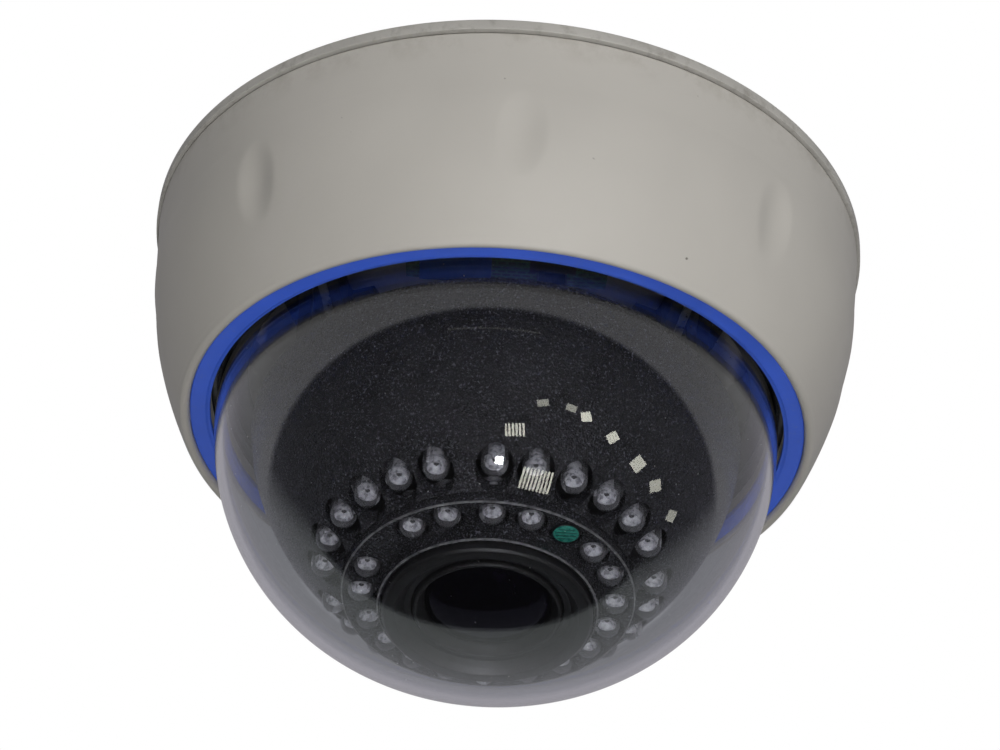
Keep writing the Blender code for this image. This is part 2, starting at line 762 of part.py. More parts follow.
def turning_rings(parent):
    """Zoom and focus rings on the barrel, each with its small lock screw."""
    for kind, (low, high), angle in (("zoom", ZOOM_L, 60.0), ("focus", FOCUS_L, 200.0)):
        inner = BARREL_R + MOVE_GAP
        made = ring(f"{kind}_ring", (inner, FOCUS_R), (low, high), black_plastic(), parent, LENS_SIDES)
        middle = (low + high) / 2
        hole = rods(f"{kind}_lock_hole", 1.2, inner - 3, FOCUS_R + 3, [(0, 0)], parent, SCREW_SIDES)
        hole.rotation_euler = (0.0, math.radians(90), math.radians(angle))
        hole.location = Vector((0, 0, middle)) * MM
        cut(made, hole)
        x, y = round_places(FOCUS_R + GAP, [angle])[0]
        lock = screw_part(f"{kind}_lock_screw", (x, y, middle), (1.5, 3.4), (0.9, 2.0), steel(), parent)
        lock.rotation_euler = (0.0, math.radians(90), math.radians(angle))


def front_group(parent):
    """Sliding front barrel with the front glass nearly flush in it, and the hood ring round them."""
    seat_r = GLASS_R + GAP
    outline = [
        (FRONT_BARREL_R, FRONT_FACE_L),
        (FRONT_BARREL_R, 33.4),
        (11.8, 33.4),
        (11.8, 20.0),
        (9.6, 20.0),
        (9.6, GLASS_SEAT_L),
        (seat_r, GLASS_SEAT_L),
        (seat_r, FRONT_FACE_L),
    ]
    turned("front_barrel", outline, black_plastic(), parent, LENS_SIDES)
    bulge = arc((0, GLASS_EDGE_L), (GLASS_R, GLASS_BULGE), 0, 90, 5)
    bulge[-1] = (0, GLASS_EDGE_L + GLASS_BULGE)
    low = GLASS_SEAT_L + GAP
    turned("front_glass", bulge + [(0, low), (GLASS_R, low)], glass(), parent, LENS_SIDES)
    low, high = HOOD_L
    bore = FRONT_BARREL_R + GAP
    outline = [
        (HOOD_R - 0.8, high),
        (HOOD_R, high - 0.8),
        (HOOD_R, low + 2.0),
        (HOOD_R - 2.0, low),
        (bore, low),
        (bore, HOOD_GROOVE_L),
        (HOOD_FACE_R, HOOD_GROOVE_L),
        (HOOD_FACE_R, high),
    ]
    turned("lens_hood", outline, black_plastic(), parent, MIDDLE_SIDES)


def build():
    """Makes the whole camera."""
    base_plate()
    ring("mounting_gasket", GASKET_R, (-GASKET_T, 0), black_rubber(), None, WIDE_SIDES)
    ring("cover_seal", (65.0, 66.6), (-BASE_T - GAP - 1.4, -BASE_T - GAP), black_rubber(), None, MIDDLE_SIDES)
    cable_grommet()
    swivel_seat()
    swivel_clip()
    power_unit()

    cover_axis = empty("cover_axis")
    housing_shell(cover_axis)
    ring("trim_ring", RING_R, (RING_Z, RING_Z + RING_T), blue_plastic(), cover_axis, WIDE_SIDES)
    dome(cover_axis)
    dome_fixings(cover_axis)

    pan_axis = empty("pan_axis", rotation=(0, 0, PAN))
    swivel_yoke(pan_axis)
    pivot_screws(pan_axis)

    tilt_axis = empty("tilt_axis", pan_axis, (0, 0, RING_Z + BALL_H), (180 - TILT, 0, 0))
    cradle(tilt_axis)
    eye_base(tilt_axis)
    eye_shell(tilt_axis)
    lamp_cap(tilt_axis)
    lamp_boards(tilt_axis)
    lens_mount(tilt_axis)
    lens_barrel(tilt_axis)
    turning_rings(tilt_axis)
    front_group(tilt_axis)


clear_scene()
PARTS = new_collection("dome_camera")
CUTTERS = new_collection("dome_camera_cutters")
build()
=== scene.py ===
"""Dome security camera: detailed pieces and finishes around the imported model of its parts."""

import json
import math
from functools import partial

import bmesh
import bpy
import numpy as np
from mathutils import Matrix, Vector


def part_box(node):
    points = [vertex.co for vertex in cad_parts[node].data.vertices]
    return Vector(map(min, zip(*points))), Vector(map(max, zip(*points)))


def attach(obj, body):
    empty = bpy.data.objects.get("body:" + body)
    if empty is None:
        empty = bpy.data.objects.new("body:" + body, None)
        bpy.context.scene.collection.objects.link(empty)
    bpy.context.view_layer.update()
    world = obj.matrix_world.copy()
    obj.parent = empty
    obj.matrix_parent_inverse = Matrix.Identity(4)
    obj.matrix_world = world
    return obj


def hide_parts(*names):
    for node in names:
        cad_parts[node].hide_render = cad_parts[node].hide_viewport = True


bl_info = {
    "name": "Dome Security Camera",
    "version": (1, 0, 0),
    "blender": (4, 5, 0),
    "location": "View3D > Sidebar > Dome Camera",
    "description": "Ceiling camera with a clear dome, a black ball, infrared lamps and a varifocal lens",
    "category": "Object",
}

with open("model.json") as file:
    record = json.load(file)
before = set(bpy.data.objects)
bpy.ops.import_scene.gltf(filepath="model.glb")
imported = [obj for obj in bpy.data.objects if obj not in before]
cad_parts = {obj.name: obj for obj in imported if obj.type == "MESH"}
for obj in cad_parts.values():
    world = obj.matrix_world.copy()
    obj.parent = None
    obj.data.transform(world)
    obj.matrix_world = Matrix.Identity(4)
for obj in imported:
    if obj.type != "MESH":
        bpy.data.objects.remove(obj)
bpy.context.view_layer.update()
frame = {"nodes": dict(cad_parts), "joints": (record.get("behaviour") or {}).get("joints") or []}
MM = 0.001

# ---- places read from the frame, in millimetres ----


def node_box(name):
    """Lowest and highest corner of a node in millimetres."""
    low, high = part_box(name)
    return np.array(low) / MM, np.array(high) / MM


def joint(name):
    return next(j for j in frame["joints"] if j["name"] == name)


RING_LOW, RING_HIGH = node_box("trim_ring")
RING_Z = RING_LOW[2]
RING_R = RING_HIGH[0]
DOME_LOW, DOME_HIGH = node_box("dome")
BASE_LOW, BASE_HIGH = node_box("base_plate")
BASE_R = BASE_HIGH[0]
HOUSING_LOW, HOUSING_HIGH = node_box("housing_shell")
RETAINER_LOW, RETAINER_HIGH = node_box("dome_retainer")
GASKET_LOW, GASKET_HIGH = node_box("mounting_gasket")
GROMMET_LOW, GROMMET_HIGH = node_box("cable_grommet")
SEAL_LOW, SEAL_HIGH = node_box("dome_seal")

BALL_CENTER = np.array(joint("tilt")["pos_m"]) / MM
LENS_AXIS = np.array(joint("roll")["axis"])
TILT_AXIS = np.array(joint("tilt")["axis"])
# The ball's own frame: Z forward along the lens, X along the tilt axis.
BALL_TURN = np.stack([TILT_AXIS, np.cross(LENS_AXIS, TILT_AXIS), LENS_AXIS], axis=1)

# ---- sizes that the part's drawing fixes, in millimetres ----

HOUSING_SIDE_R = 68.9
HOUSING_SIDE_H = 30.0
LIP_R = 60.7
LIP_H = HOUSING_LOW[2] - RING_Z
CURVE_POWER = 1.85
WALL = 2.4
RECESS_R = 59.4
SEAT_R = 55.2
SEAT_H = (1.8, 4.2)
DIMPLE_H = 19.5
DOME_R = 54.0
DOME_T = 1.6
DOME_EDGE_H = 0.0
DOME_POWER = 2.1
DOME_FLANGE_LOW_H = 5.4
SPIGOT_R = (61.4, 63.0)
RING_INNER_R = 55.1
SCREW_ANGLES = (45, 135, 225, 315)
BOSS_CIRCLE_R = 59.9
RETAINER_SCREW_CIRCLE_R = 59.6
HOOK_ANGLES = (30.0, 150.0, 270.0)
HOOK_CIRCLE_R = 64.0
LUG_CIRCLE_R = 65.9
SLOT_ANGLES = (90.0, 210.0, 330.0)
SLOT_CIRCLE_R = 53.0
DRAIN_CIRCLE_R = 48.0
PLATE_T = 2.6
GASKET_GROOVE = (66.8, 68.8, -1.0)
HOOK_SIZE = (16.0, 4.0)
LUG_SIZE = (16.0, 3.2)
LUG_HEIGHTS = (-7.2, -5.2)
SLOT_SIZE = (12.0, 4.5)
COUNTERSINK_SIZE = (15.0, 7.5)
CABLE_HOLE = 17.0
DRAIN_HOLE = 3.0
SCREW_HOLE = 2.6
SCREW_HEAD = (2.0, 1.5)
SCREW_SHAFT = (1.0, 4.0)
SCREW_PITCH = 0.5

BALL_R = 47.6
BALL_LONG = 50.0
BALL_T = 2.0
BALL_RIM = 8.2
BALL_MOUTH_R = 26.8
LAMP_R = 2.5
ROW_START = 25.0
OUTER_ROW_R = 30.1
OUTER_TIP_L = 39.9
OUTER_BOARD_L = 31.2
OUTER_PITCH = 14.0
INNER_ROW_R = 23.1
INNER_TIP_L = 45.0
INNER_BOARD_L = 36.6
INNER_PITCH = 17.5
PHOTOCELL_PLACE = (0, 2)
EMPTY_PLACE = (1, 2)
PHOTOCELL_L = 43.4
CAP_R = (19.4, 26.6)
CAP_L = (39.2, 43.4)
CAP_LIP = (20.0, 46.4)
HOOD_R = 19.1
HOOD_L = (38.2, 48.0)
HOOD_FACE_R = 16.0
HOOD_GROOVE_L = 46.0
FRONT_BARREL_R = 13.6
FRONT_FACE_L = 46.8
GLASS_SEAT_L = 42.0
GLASS_EDGE_L = 44.4
GLASS_BULGE = 2.6
GLASS_R = 11.4
GRIP_R = (13.6, 16.2)
GRIP_RIDGES = 48
GRIP_RIDGE_DEPTH = 0.18
CUP_DROP = 2.5
POST_CIRCLE_R = 1.85
POST_TURN = 83.0
BOARD_R = {"outer": (24.0, 33.9), "inner": (19.8, 25.4)}
BOARD_T = 1.6
TRACK_REACH = 1.9
TRACK_ROWS = (-1.2, -0.4, 0.4, 1.2)

# ---- colours and nodes ----

NOISE, RAMP = "ShaderNodeTexNoise", "ShaderNodeValToRGB"
SPAN, BUMP = "ShaderNodeMapRange", "ShaderNodeBump"
MIX, MATH = "ShaderNodeMix", "ShaderNodeMath"
VECTOR, SHADER = "ShaderNodeVectorMath", "ShaderNodeBsdfPrincipled"
PATH, PLACE = "ShaderNodeLightPath", "ShaderNodeTexCoord"
COLOR = {"data_type": "RGBA"}


def srgb(code):
    """Linear colour from an sRGB hex code."""
    values = [int(code[i : i + 2], 16) / 255 for i in (0, 2, 4)]
    linear = [v / 12.92 if v <= 0.04045 else ((v + 0.055) / 1.055) ** 2.4 for v in values]
    return (*linear, 1.0)


def grey(value):
    return (value, value, value, 1.0)


def shade(color, factor):
    """A linear colour made lighter or darker."""
    return (color[0] * factor, color[1] * factor, color[2] * factor, 1.0)


def add_node(tree, kind, settings, links):
    """Adds a node. Settings are its attributes, its ramp's stops, the ends of its range or values of its
    inputs."""
    made = tree.nodes.new(kind)
    for key, value in settings.items():
        if key == "stops":
            elements = made.color_ramp.elements
            while len(elements) < len(value):
                elements.new(0.5)
            for element, (position, color) in zip(elements, value):
                element.position = position
                element.color = color
        elif key == "ends":
            for name, number in zip(("From Min", "From Max", "To Min", "To Max"), value):
                made.inputs[name].default_value = number
        elif isinstance(key, str) and hasattr(made, key):
            setattr(made, key, value)
        else:
            made.inputs[key].default_value = value
    for key, socket in links.items():
        tree.links.new(socket, made.inputs[key])
    return made


def add_rows(tree, rows):
    """Adds a table of nodes. A row is a label, a kind, settings and links, and a link is 'label:output'
    of a row above. Returns the last node."""
    made = {}
    for label, kind, settings, links in rows:
        sources = {key: source.split(":") for key, source in links.items()}
        sockets = {key: made[row].outputs[output] for key, (row, output) in sources.items()}
        made[label] = add_node(tree, kind, settings, sockets)
    return made[label]


def new_finish(name, rows):
    """A node material from a table whose last row is its shader. 'place:Object' is the object's own
    coordinates."""
    made = bpy.data.materials.new(name)
    made.use_nodes = True
    tree = made.node_tree
    tree.nodes.clear()
    last = add_rows(tree, [("place", PLACE, {}, {}), *rows])
    add_node(tree, "ShaderNodeOutputMaterial", {}, {"Surface": last.outputs[0]})
    return made


def blobs(size_mm, detail=2.0, rough=0.5):
    """Noise settings for blobs about size_mm wide."""
    return {"Scale": 1.0 / (size_mm * MM), "Detail": detail, "Roughness": rough}


def raised(depth_mm, strength):
    """Bump settings for a full height of depth_mm."""
    return {"Distance": depth_mm * MM, "Strength": strength}


def two_tone(dark, light):
    """Ramp settings that spread two colours over a noise."""
    return {"stops": [(0.3, dark), (0.7, light)]}


def uneven(color):
    """Links of a shader whose colour, roughness and relief all vary."""
    return {"Base Color": color, "Roughness": "rough:Result", "Normal": "relief:Normal"}


HERE = {"Vector": "place:Object"}
MATERIALS = {}


def finish(name):
    """A named finish, made at its first use."""
    if name not in MATERIALS:
        MATERIALS[name] = FINISHES[name]()
    return MATERIALS[name]


# ---- finishes ----


def overlay(label, size, ends, code, under):
    """Rows that lay a colour over the one under it wherever a noise is high."""
    return [
        (f"{label}_noise", NOISE, blobs(*size), HERE),
        (f"{label}_share", SPAN, {"ends": ends}, {"Value": f"{label}_noise:Fac"}),
        (label, MIX, {**COLOR, "B": srgb(code)}, {"Factor": f"{label}_share:Result", "A": under}),
    ]


def moulded(ior, color, grain, depth, rub, rough):
    """Last rows of a moulded or painted surface: fine relief, roughness varied by rub marks, the shader."""
    return [
        ("grain", NOISE, blobs(*grain), HERE),
        ("relief", BUMP, raised(*depth), {"Height": "grain:Fac"}),
        ("rub", NOISE, blobs(*rub), HERE),
        ("rough", SPAN, {"ends": (0.0, 1.0, *rough)}, {"Value": "rub:Fac"}),
        ("surface", SHADER, {"IOR": ior}, uneven(color)),
    ]


def moulded_abs_housing():
    """Off-white ABS, moulded with a fine matt spark-eroded grain: even and soft, a little grime near the
    ceiling."""
    color = bpy.context.scene.dome_camera_finishes.housing
    return new_finish(
        "moulded_abs_housing",
        [
            ("tone", NOISE, blobs(34.0, 3.0), HERE),
            ("base", RAMP, two_tone(shade(color, 0.95), shade(color, 1.03)), {"Fac": "tone:Fac"}),
            ("parts", "ShaderNodeSeparateXYZ", {}, HERE),
            ("near_top", SPAN, {"ends": (-9.0 * MM, -2.0 * MM, 0.0, 1.0)}, {"Value": "parts:Z"}),
            ("dirt", NOISE, blobs(6.0, 5.0, 0.7), HERE),
            ("patches", SPAN, {"ends": (0.46, 0.72, 0.0, 0.5)}, {"Value": "dirt:Fac"}),
            ("grime", MATH, {"operation": "MULTIPLY"}, {0: "near_top:Result", 1: "patches:Result"}),
            ("grimy", MIX, {**COLOR, "B": srgb("8A8375")}, {"Factor": "grime:Value", "A": "base:Color"}),
            *overlay("specked", (2.4, 1.0), (0.80, 0.83, 0.0, 0.8), "4C463C", "grimy:Result"),
            *moulded(1.53, "specked:Result", (0.5, 3.0, 0.6), (0.03, 0.5), (9.0, 4.0), (0.42, 0.56)),
        ],
    )


def die_cast_base():
    """Powder-coated aluminium base: fine orange peel, pale grey, dirt gathered in its rim."""
    color = bpy.context.scene.dome_camera_finishes.base
    return new_finish(
        "die_cast_base",
        [
            ("tone", NOISE, blobs(18.0, 4.0), HERE),
            ("base", RAMP, two_tone(shade(color, 0.88), shade(color, 1.05)), {"Fac": "tone:Fac"}),
            ("soil", NOISE, blobs(3.0, 6.0, 0.7), HERE),
            ("dirt", SPAN, {"ends": (0.52, 0.7, 0.0, 0.4)}, {"Value": "soil:Fac"}),
            ("flat", VECTOR, {"operation": "MULTIPLY", 1: (1.0, 1.0, 0.0)}, {0: "place:Object"}),
            ("reach", VECTOR, {"operation": "LENGTH"}, {0: "flat:Vector"}),
            (
                "rim",
                SPAN,
                {"ends": ((BASE_R - 5.0) * MM, (BASE_R - 0.5) * MM, 0.0, 1.0)},
                {"Value": "reach:Value"},
            ),
            ("stain", MATH, {"operation": "MULTIPLY"}, {0: "rim:Result", 1: "dirt:Result"}),
            (
                "stained",
                MIX,
                {**COLOR, "B": srgb("6E675B")},
                {"Factor": "stain:Value", "A": "base:Color"},
            ),
            *moulded(1.5, "stained:Result", (0.9, 2.0), (0.03, 0.5), (18.0, 4.0), (0.38, 0.55)),
        ],
    )


def moulded_abs_blue():
    """Blue ABS trim: satin, even colour with faint dust and fine rub marks."""
    color = bpy.context.scene.dome_camera_finishes.trim
    return new_finish(
        "moulded_abs_blue",
        [
            ("tone", NOISE, blobs(12.0, 3.0), HERE),
            ("base", RAMP, two_tone(shade(color, 0.93), shade(color, 1.05)), {"Fac": "tone:Fac"}),
            *overlay("dusty", (1.6, 5.0, 0.75), (0.56, 0.72, 0.0, 0.18), "8590B4", "base:Color"),
            *moulded(1.53, "dusty:Result", (0.4,), (0.02, 0.4), (12.0, 3.0), (0.42, 0.54)),
        ],
    )


def spark_eroded_black():
    """Black ABS of the ball: a coarse spark-eroded texture. Its grains are 0.1 mm, drawn 0.4 mm so that
    they show, and pale flecks over it are painted glints that stand for their lit facets, the same from
    every side."""
    color = bpy.context.scene.dome_camera_finishes.ball
    return new_finish(
        "spark_eroded_black",
        [
            ("tone", NOISE, blobs(8.0, 3.0), HERE),
            ("base", RAMP, two_tone(shade(color, 0.75), shade(color, 1.2)), {"Fac": "tone:Fac"}),
            # Painted glints: pale specks laid into the colour where the grain's facets would catch the
            # light.
            *overlay("flecked", (0.42, 1.0), (0.61, 0.73, 0.0, 0.5), "8A8A94", "base:Color"),
            ("cells", "ShaderNodeTexVoronoi", {"Scale": 1.0 / (0.42 * MM)}, HERE),
            ("fine", NOISE, blobs(0.35, 2.0, 0.6), HERE),
            ("height", MATH, {"operation": "ADD"}, {0: "cells:Distance", 1: "fine:Fac"}),
            ("relief", BUMP, raised(0.18, 1.0), {"Height": "height:Value"}),
            ("rough", SPAN, {"ends": (0.0, 1.0, 0.18, 0.34)}, {"Value": "fine:Fac"}),
            ("abs", SHADER, {"IOR": 1.53}, uneven("flecked:Result")),
        ],
    )


def satin_black():
    """Black polycarbonate of the hood and rings: satin from a finer mould, faint dust on it."""
    return new_finish(
        "satin_black",
        [
            ("fluff", NOISE, blobs(1.2, 5.0, 0.7), HERE),
            ("dust", SPAN, {"ends": (0.55, 0.75, 0.0, 0.12)}, {"Value": "fluff:Fac"}),
            (
                "dusty",
                MIX,
                {**COLOR, "A": srgb("161617"), "B": srgb("57554F")},
                {"Factor": "dust:Result"},
            ),
            *moulded(1.55, "dusty:Result", (0.3,), (0.02, 0.5), (4.0, 3.0), (0.34, 0.5)),
        ],
    )


def open_to_light(shader, tint):
    """Rows that mix a clear shader with a tinted see-through one, which only shadow rays meet."""
    return [
        ("path", PATH, {}, {}),
        ("open", "ShaderNodeBsdfTransparent", {"Color": tint}, {}),
        ("both", "ShaderNodeMixShader", {}, {0: "path:Is Shadow Ray", 1: f"{shader}:BSDF", 2: "open:BSDF"}),
    ]


def clear_polycarbonate():
    """Injection-moulded polycarbonate dome: clear, a trace of smoke, with a few dust specks."""
    color = tuple(bpy.context.scene.dome_camera_finishes.dome)
    return new_finish(
        "clear_polycarbonate",
        [
            ("dust", NOISE, blobs(0.9, 1.0), HERE),
            ("rough", SPAN, {"ends": (0.79, 0.82, 0.015, 0.35)}, {"Value": "dust:Fac"}),
            (
                "clear",
                SHADER,
                {"Base Color": color, "IOR": 1.58, "Transmission Weight": 1.0},
                {"Roughness": "rough:Result"},
            ),
            *open_to_light("clear", (0.8, 0.8, 0.81, 1.0)),
        ],
    )


def lamp_epoxy():
    """Epoxy of the 5 mm lamps, cast smooth: clear with a trace of milk in it, and faint flow lines."""
    return new_finish(
        "lamp_epoxy",
        [
            ("haze", NOISE, blobs(1.1, 3.0), HERE),
            ("relief", BUMP, raised(0.06, 0.35), {"Height": "haze:Fac"}),
            ("rough", SPAN, {"ends": (0.0, 1.0, 0.04, 0.14)}, {"Value": "haze:Fac"}),
            (
                "epoxy",
                SHADER,
                {"Base Color": srgb("F0F0F4"), "IOR": 1.53, "Transmission Weight": 0.93},
                {"Roughness": "rough:Result", "Normal": "relief:Normal"},
            ),
            *open_to_light("epoxy", (0.85, 0.85, 0.87, 1.0)),
        ],
    )


def coated_glass():
    """Ground optical glass with a violet and red anti-reflection coating: nearly black over the barrel."""
    return new_finish(
        "coated_glass",
        [
            ("tone", NOISE, blobs(5.0, 2.0), HERE),
            ("color", RAMP, two_tone(srgb("030206"), srgb("07050C")), {"Fac": "tone:Fac"}),
            ("rough", SPAN, {"ends": (0.0, 1.0, 0.015, 0.04)}, {"Value": "tone:Fac"}),
            (
                "glass",
                SHADER,
                {"IOR": 1.5, "Specular IOR Level": 0.12, "Specular Tint": srgb("B9A8FF")},
                {"Base Color": "color:Color", "Roughness": "rough:Result"},
            ),
        ],
    )


def solder_mask():
    """Glass-epoxy board under green solder mask: glossy, with copper tracks showing as a lighter grid."""
    return new_finish(
        "solder_mask",
        [
            ("tracks", "ShaderNodeTexBrick", {"Scale": 1.0 / (4.0 * MM), "Mortar Size": 0.06}, HERE),
            ("color", MIX, {**COLOR, "A": srgb("14472B"), "B": srgb("2A6B42")}, {"Factor": "tracks:Fac"}),
            ("tone", NOISE, blobs(2.0), HERE),
            ("rough", SPAN, {"ends": (0.0, 1.0, 0.25, 0.4)}, {"Value": "tone:Fac"}),
            ("mask", SHADER, {}, {"Base Color": "color:Result", "Roughness": "rough:Result"}),
        ],
    )


def matt_floor():
    """Pale matt studio floor."""
    return new_finish(
        "matt_floor",
        [
            ("tone", NOISE, blobs(400.0), HERE),
            ("color", RAMP, two_tone(srgb("E4E4E2"), srgb("EAEAE8")), {"Fac": "tone:Fac"}),
            (
                "paint",
                SHADER,
                {"Roughness": 0.9, "Emission Color": grey(1.0), "Emission Strength": 0.55},
                {"Base Color": "color:Color"},
            ),
        ],
    )


# Finishes whose one cloudy pattern sets colour, roughness and relief: blob size in mm, two colours, two
# roughnesses, relief in mm and metallic.
CLOUDY = {
    # Silver plating on the lamps' lead frames, broken by stamping marks; its near-white colour and white
    # patches are partly painted highlight, standing in for the bright streaks of the lamps.
    "lead_frame_painted_highlight": (0.6, ("8F8F94", "FFFFFF"), (0.2, 0.4), 0.06, 0.3),
    # Black edges of the raised front, with a pale painted highlight along them where the edges catch the
    # light.
    "black_edge_painted_highlight": (1.4, ("3A3A3B", "8C8C8C"), (0.3, 0.45), 0.02, 0.0),
    # Cadmium sulphide on a ceramic disc: green, a little uneven from sintering.
    "sintered_cell": (0.8, ("1F6A5C", "3A9C88"), (0.2, 0.4), 0.01, 0.0),
    # Black nitrile rubber: dull, with a bloom of pale dust.
    "moulded_rubber": (2.0, ("181818", "343331"), (0.7, 0.9), 0.03, 0.0),
    # Zinc-plated steel: bright grey with a cloudy passivation.
    "zinc_plated_steel": (1.5, ("9C9C98", "C6C6C4"), (0.22, 0.42), 0.01, 1.0),
    # Black-painted pressed steel of the yoke and cradle: satin, with a light orange peel.
    "painted_steel": (3.0, ("1C1C1E", "29292B"), (0.35, 0.5), 0.03, 0.0),
    # Lamp boards under black solder mask: semi-gloss, nearly lost in the dark of the pockets.
    "black_solder_mask": (1.5, ("0B0B0C", "141415"), (0.3, 0.5), 0.01, 0.0),
    # Blue PA66 terminal block: slightly waxy.
    "moulded_polyamide": (3.0, ("2A57A8", "3567BE"), (0.35, 0.5), 0.02, 0.0),
}


def cloudy(name):
    """A finish of the table above."""
    size, colors, rough, relief, metallic = CLOUDY[name]
    return new_finish(
        name,
        [
            ("cloud", NOISE, blobs(size, 4.0), HERE),
            ("color", RAMP, two_tone(*map(srgb, colors)), {"Fac": "cloud:Fac"}),
            ("rough", SPAN, {"ends": (0.25, 0.75, *rough)}, {"Value": "cloud:Fac"}),
            ("relief", BUMP, raised(relief, 0.5), {"Height": "cloud:Fac"}),
            ("surface", SHADER, {"Metallic": metallic}, uneven("color:Color")),
        ],
    )


OWN_FINISHES = (moulded_abs_housing, die_cast_base, moulded_abs_blue, spark_eroded_black, satin_black)
OWN_FINISHES += (clear_polycarbonate, lamp_epoxy, coated_glass, solder_mask, matt_floor)
FINISHES = {made.__name__: made for made in OWN_FINISHES} | {name: partial(cloudy, name) for name in CLOUDY}

# ---- surfaces ----

SHARP_ANGLE = math.radians(40.0)


def add_object(name, data):
    """A new object in the scene."""
    made = bpy.data.objects.new(name, data)
    bpy.context.scene.collection.objects.link(made)
    return made


def put_mesh(name, points, faces, look):
    """A mesh object at the origin from points in millimetres and a list of face arrays, doubles merged."""
    mesh = bpy.data.meshes.new(name)
    mesh.from_pydata((np.asarray(points) * MM).tolist(), [], [f.tolist() for group in faces for f in group])
    made = add_object(name, mesh)
    close_seams(mesh)
    mesh.shade_smooth()
    mesh.set_sharp_from_angle(angle=SHARP_ANGLE)
    mesh.materials.append(finish(look))
    return made


def close_seams(mesh):
    """Merges doubled points at poles and seams, and turns the faces outwards."""
    work = bmesh.new()
    work.from_mesh(mesh)
    bmesh.ops.remove_doubles(work, verts=work.verts, dist=0.000002)
    bmesh.ops.recalc_face_normals(work, faces=work.faces)
    work.to_mesh(mesh)
    work.free()


def wrap_faces(rows, columns, rows_close, columns_close, first=0):
    """Quads of a grid of rows by columns, which may close on themselves."""
    i = np.arange(rows if rows_close else rows - 1)
    j = np.arange(columns if columns_close else columns - 1)
    i, j = np.meshgrid(i, j, indexing="ij")
    i2, j2 = (i + 1) % rows, (j + 1) % columns
    quads = np.stack([i * columns + j, i2 * columns + j, i2 * columns + j2, i * columns + j2], axis=-1)
    return quads.reshape(-1, 4) + first


def rounded(corners, radius=0.3, count=4):
    """A closed outline whose corners are rounded: each corner gives way to a quadratic curve between the
    points that lie radius (or a third of the shorter side) from it on its two sides."""
    corners = np.asarray(corners, dtype=float)
    before = np.roll(corners, 1, axis=0) - corners
    after = np.roll(corners, -1, axis=0) - corners
    size_before = np.linalg.norm(before, axis=1)
    size_after = np.linalg.norm(after, axis=1)
    cut = np.minimum(radius, np.minimum(size_before, size_after) / 3)
    on_axis = np.abs(corners[:, 0]) < 1e-6
    cut = np.where(on_axis, 1e-4, cut)
    start = corners + before / size_before[:, None] * cut[:, None]
    end = corners + after / size_after[:, None] * cut[:, None]
    t = np.linspace(0, 1, count)[None, :, None]
    curve = (1 - t) ** 2 * start[:, None] + 2 * t * (1 - t) * corners[:, None] + t**2 * end[:, None]
    out = curve.reshape(-1, 2)
    out[:, 0] = np.maximum(out[:, 0], 0.0)
    return out


def turned_points(outline, sides):
    """Every outline point (radius, height) carried round Z: (r cos a, r sin a, h)."""
    outline = np.asarray(outline, dtype=float)
    angle = np.linspace(0, 2 * np.pi, sides, endpoint=False)
    r, h = outline[:, 0][:, None], outline[:, 1][:, None]
    return np.stack([r * np.cos(angle), r * np.sin(angle), h + 0 * angle], axis=-1)


def in_ball(points):
    """Points of the ball's frame moved to the row frame: ball centre + turn matrix times point."""
    return points @ BALL_TURN.T + BALL_CENTER


def turned(name, outline, look, sides=192, ball=False, spot=(0.0, 0.0), closed=True):
    """A turned piece from a closed outline, standing at spot, in the row frame or in the ball's."""
    grid = turned_points(outline, sides)
    points = grid.reshape(-1, 3) + np.array([spot[0], spot[1], 0.0])
    faces = wrap_faces(len(grid), sides, closed, True)
    return put_mesh(name, in_ball(points) if ball else points, [faces], look)


def arc(center, radii, start, end, count):
    """Points of an elliptical arc, angles in degrees from +R toward +H."""
    a = np.radians(np.linspace(start, end, count))
    return np.stack([center[0] + radii[0] * np.cos(a), center[1] + radii[1] * np.sin(a)], axis=1)


def ring_corners(outer, inner, low, high):
    """Corners of a ring's square section."""
    return [(outer, high), (outer, low), (inner, low), (inner, high)]


def many_turned(name, outline, look, places, sides):
    """Equal turned shapes at (x, y) places of the ball's frame, in one mesh."""
    grid = turned_points(outline, sides)
    shape = grid.reshape(-1, 3)
    faces = wrap_faces(len(grid), sides, True, True)
    shift = np.concatenate([places, np.zeros((len(places), 1))], axis=1)
    points = (shape[None] + shift[:, None]).reshape(-1, 3)
    groups = [faces + len(shape) * k for k in range(len(places))]
    return put_mesh(name, in_ball(points), groups, look)


def prism(outline, low, high):
    """A closed upright solid over a flat closed outline of (x, y), as points and faces."""
    outline = np.asarray(outline, dtype=float)
    count = len(outline)
    bottom = np.concatenate([outline, np.full((count, 1), low)], axis=1)
    top = np.concatenate([outline, np.full((count, 1), high)], axis=1)
    sides = wrap_faces(2, count, False, True)
    caps = [np.arange(count)[None], np.arange(count, 2 * count)[None]]
    return np.concatenate([bottom, top]), [sides, *caps]


def slot_outline(length, width, spot, turn, count=12):
    """A slot with round ends: two half circles of the slot's width, turned by degrees and moved to spot."""
    a = np.linspace(-np.pi / 2, np.pi / 2, count)
    half = (length - width) / 2
    right = np.stack([half + width / 2 * np.cos(a), width / 2 * np.sin(a)], axis=1)
    points = np.concatenate([right, -right])
    t = math.radians(turn)
    spin = np.array([[math.cos(t), math.sin(t)], [-math.sin(t), math.cos(t)]])
    return points @ spin + np.array(spot)


def round_outline(diameter, spot, count=12):
    """A circle at spot, as a slot a hair longer than it is wide."""
    return slot_outline(diameter + 0.01, diameter, spot, 0.0, count)


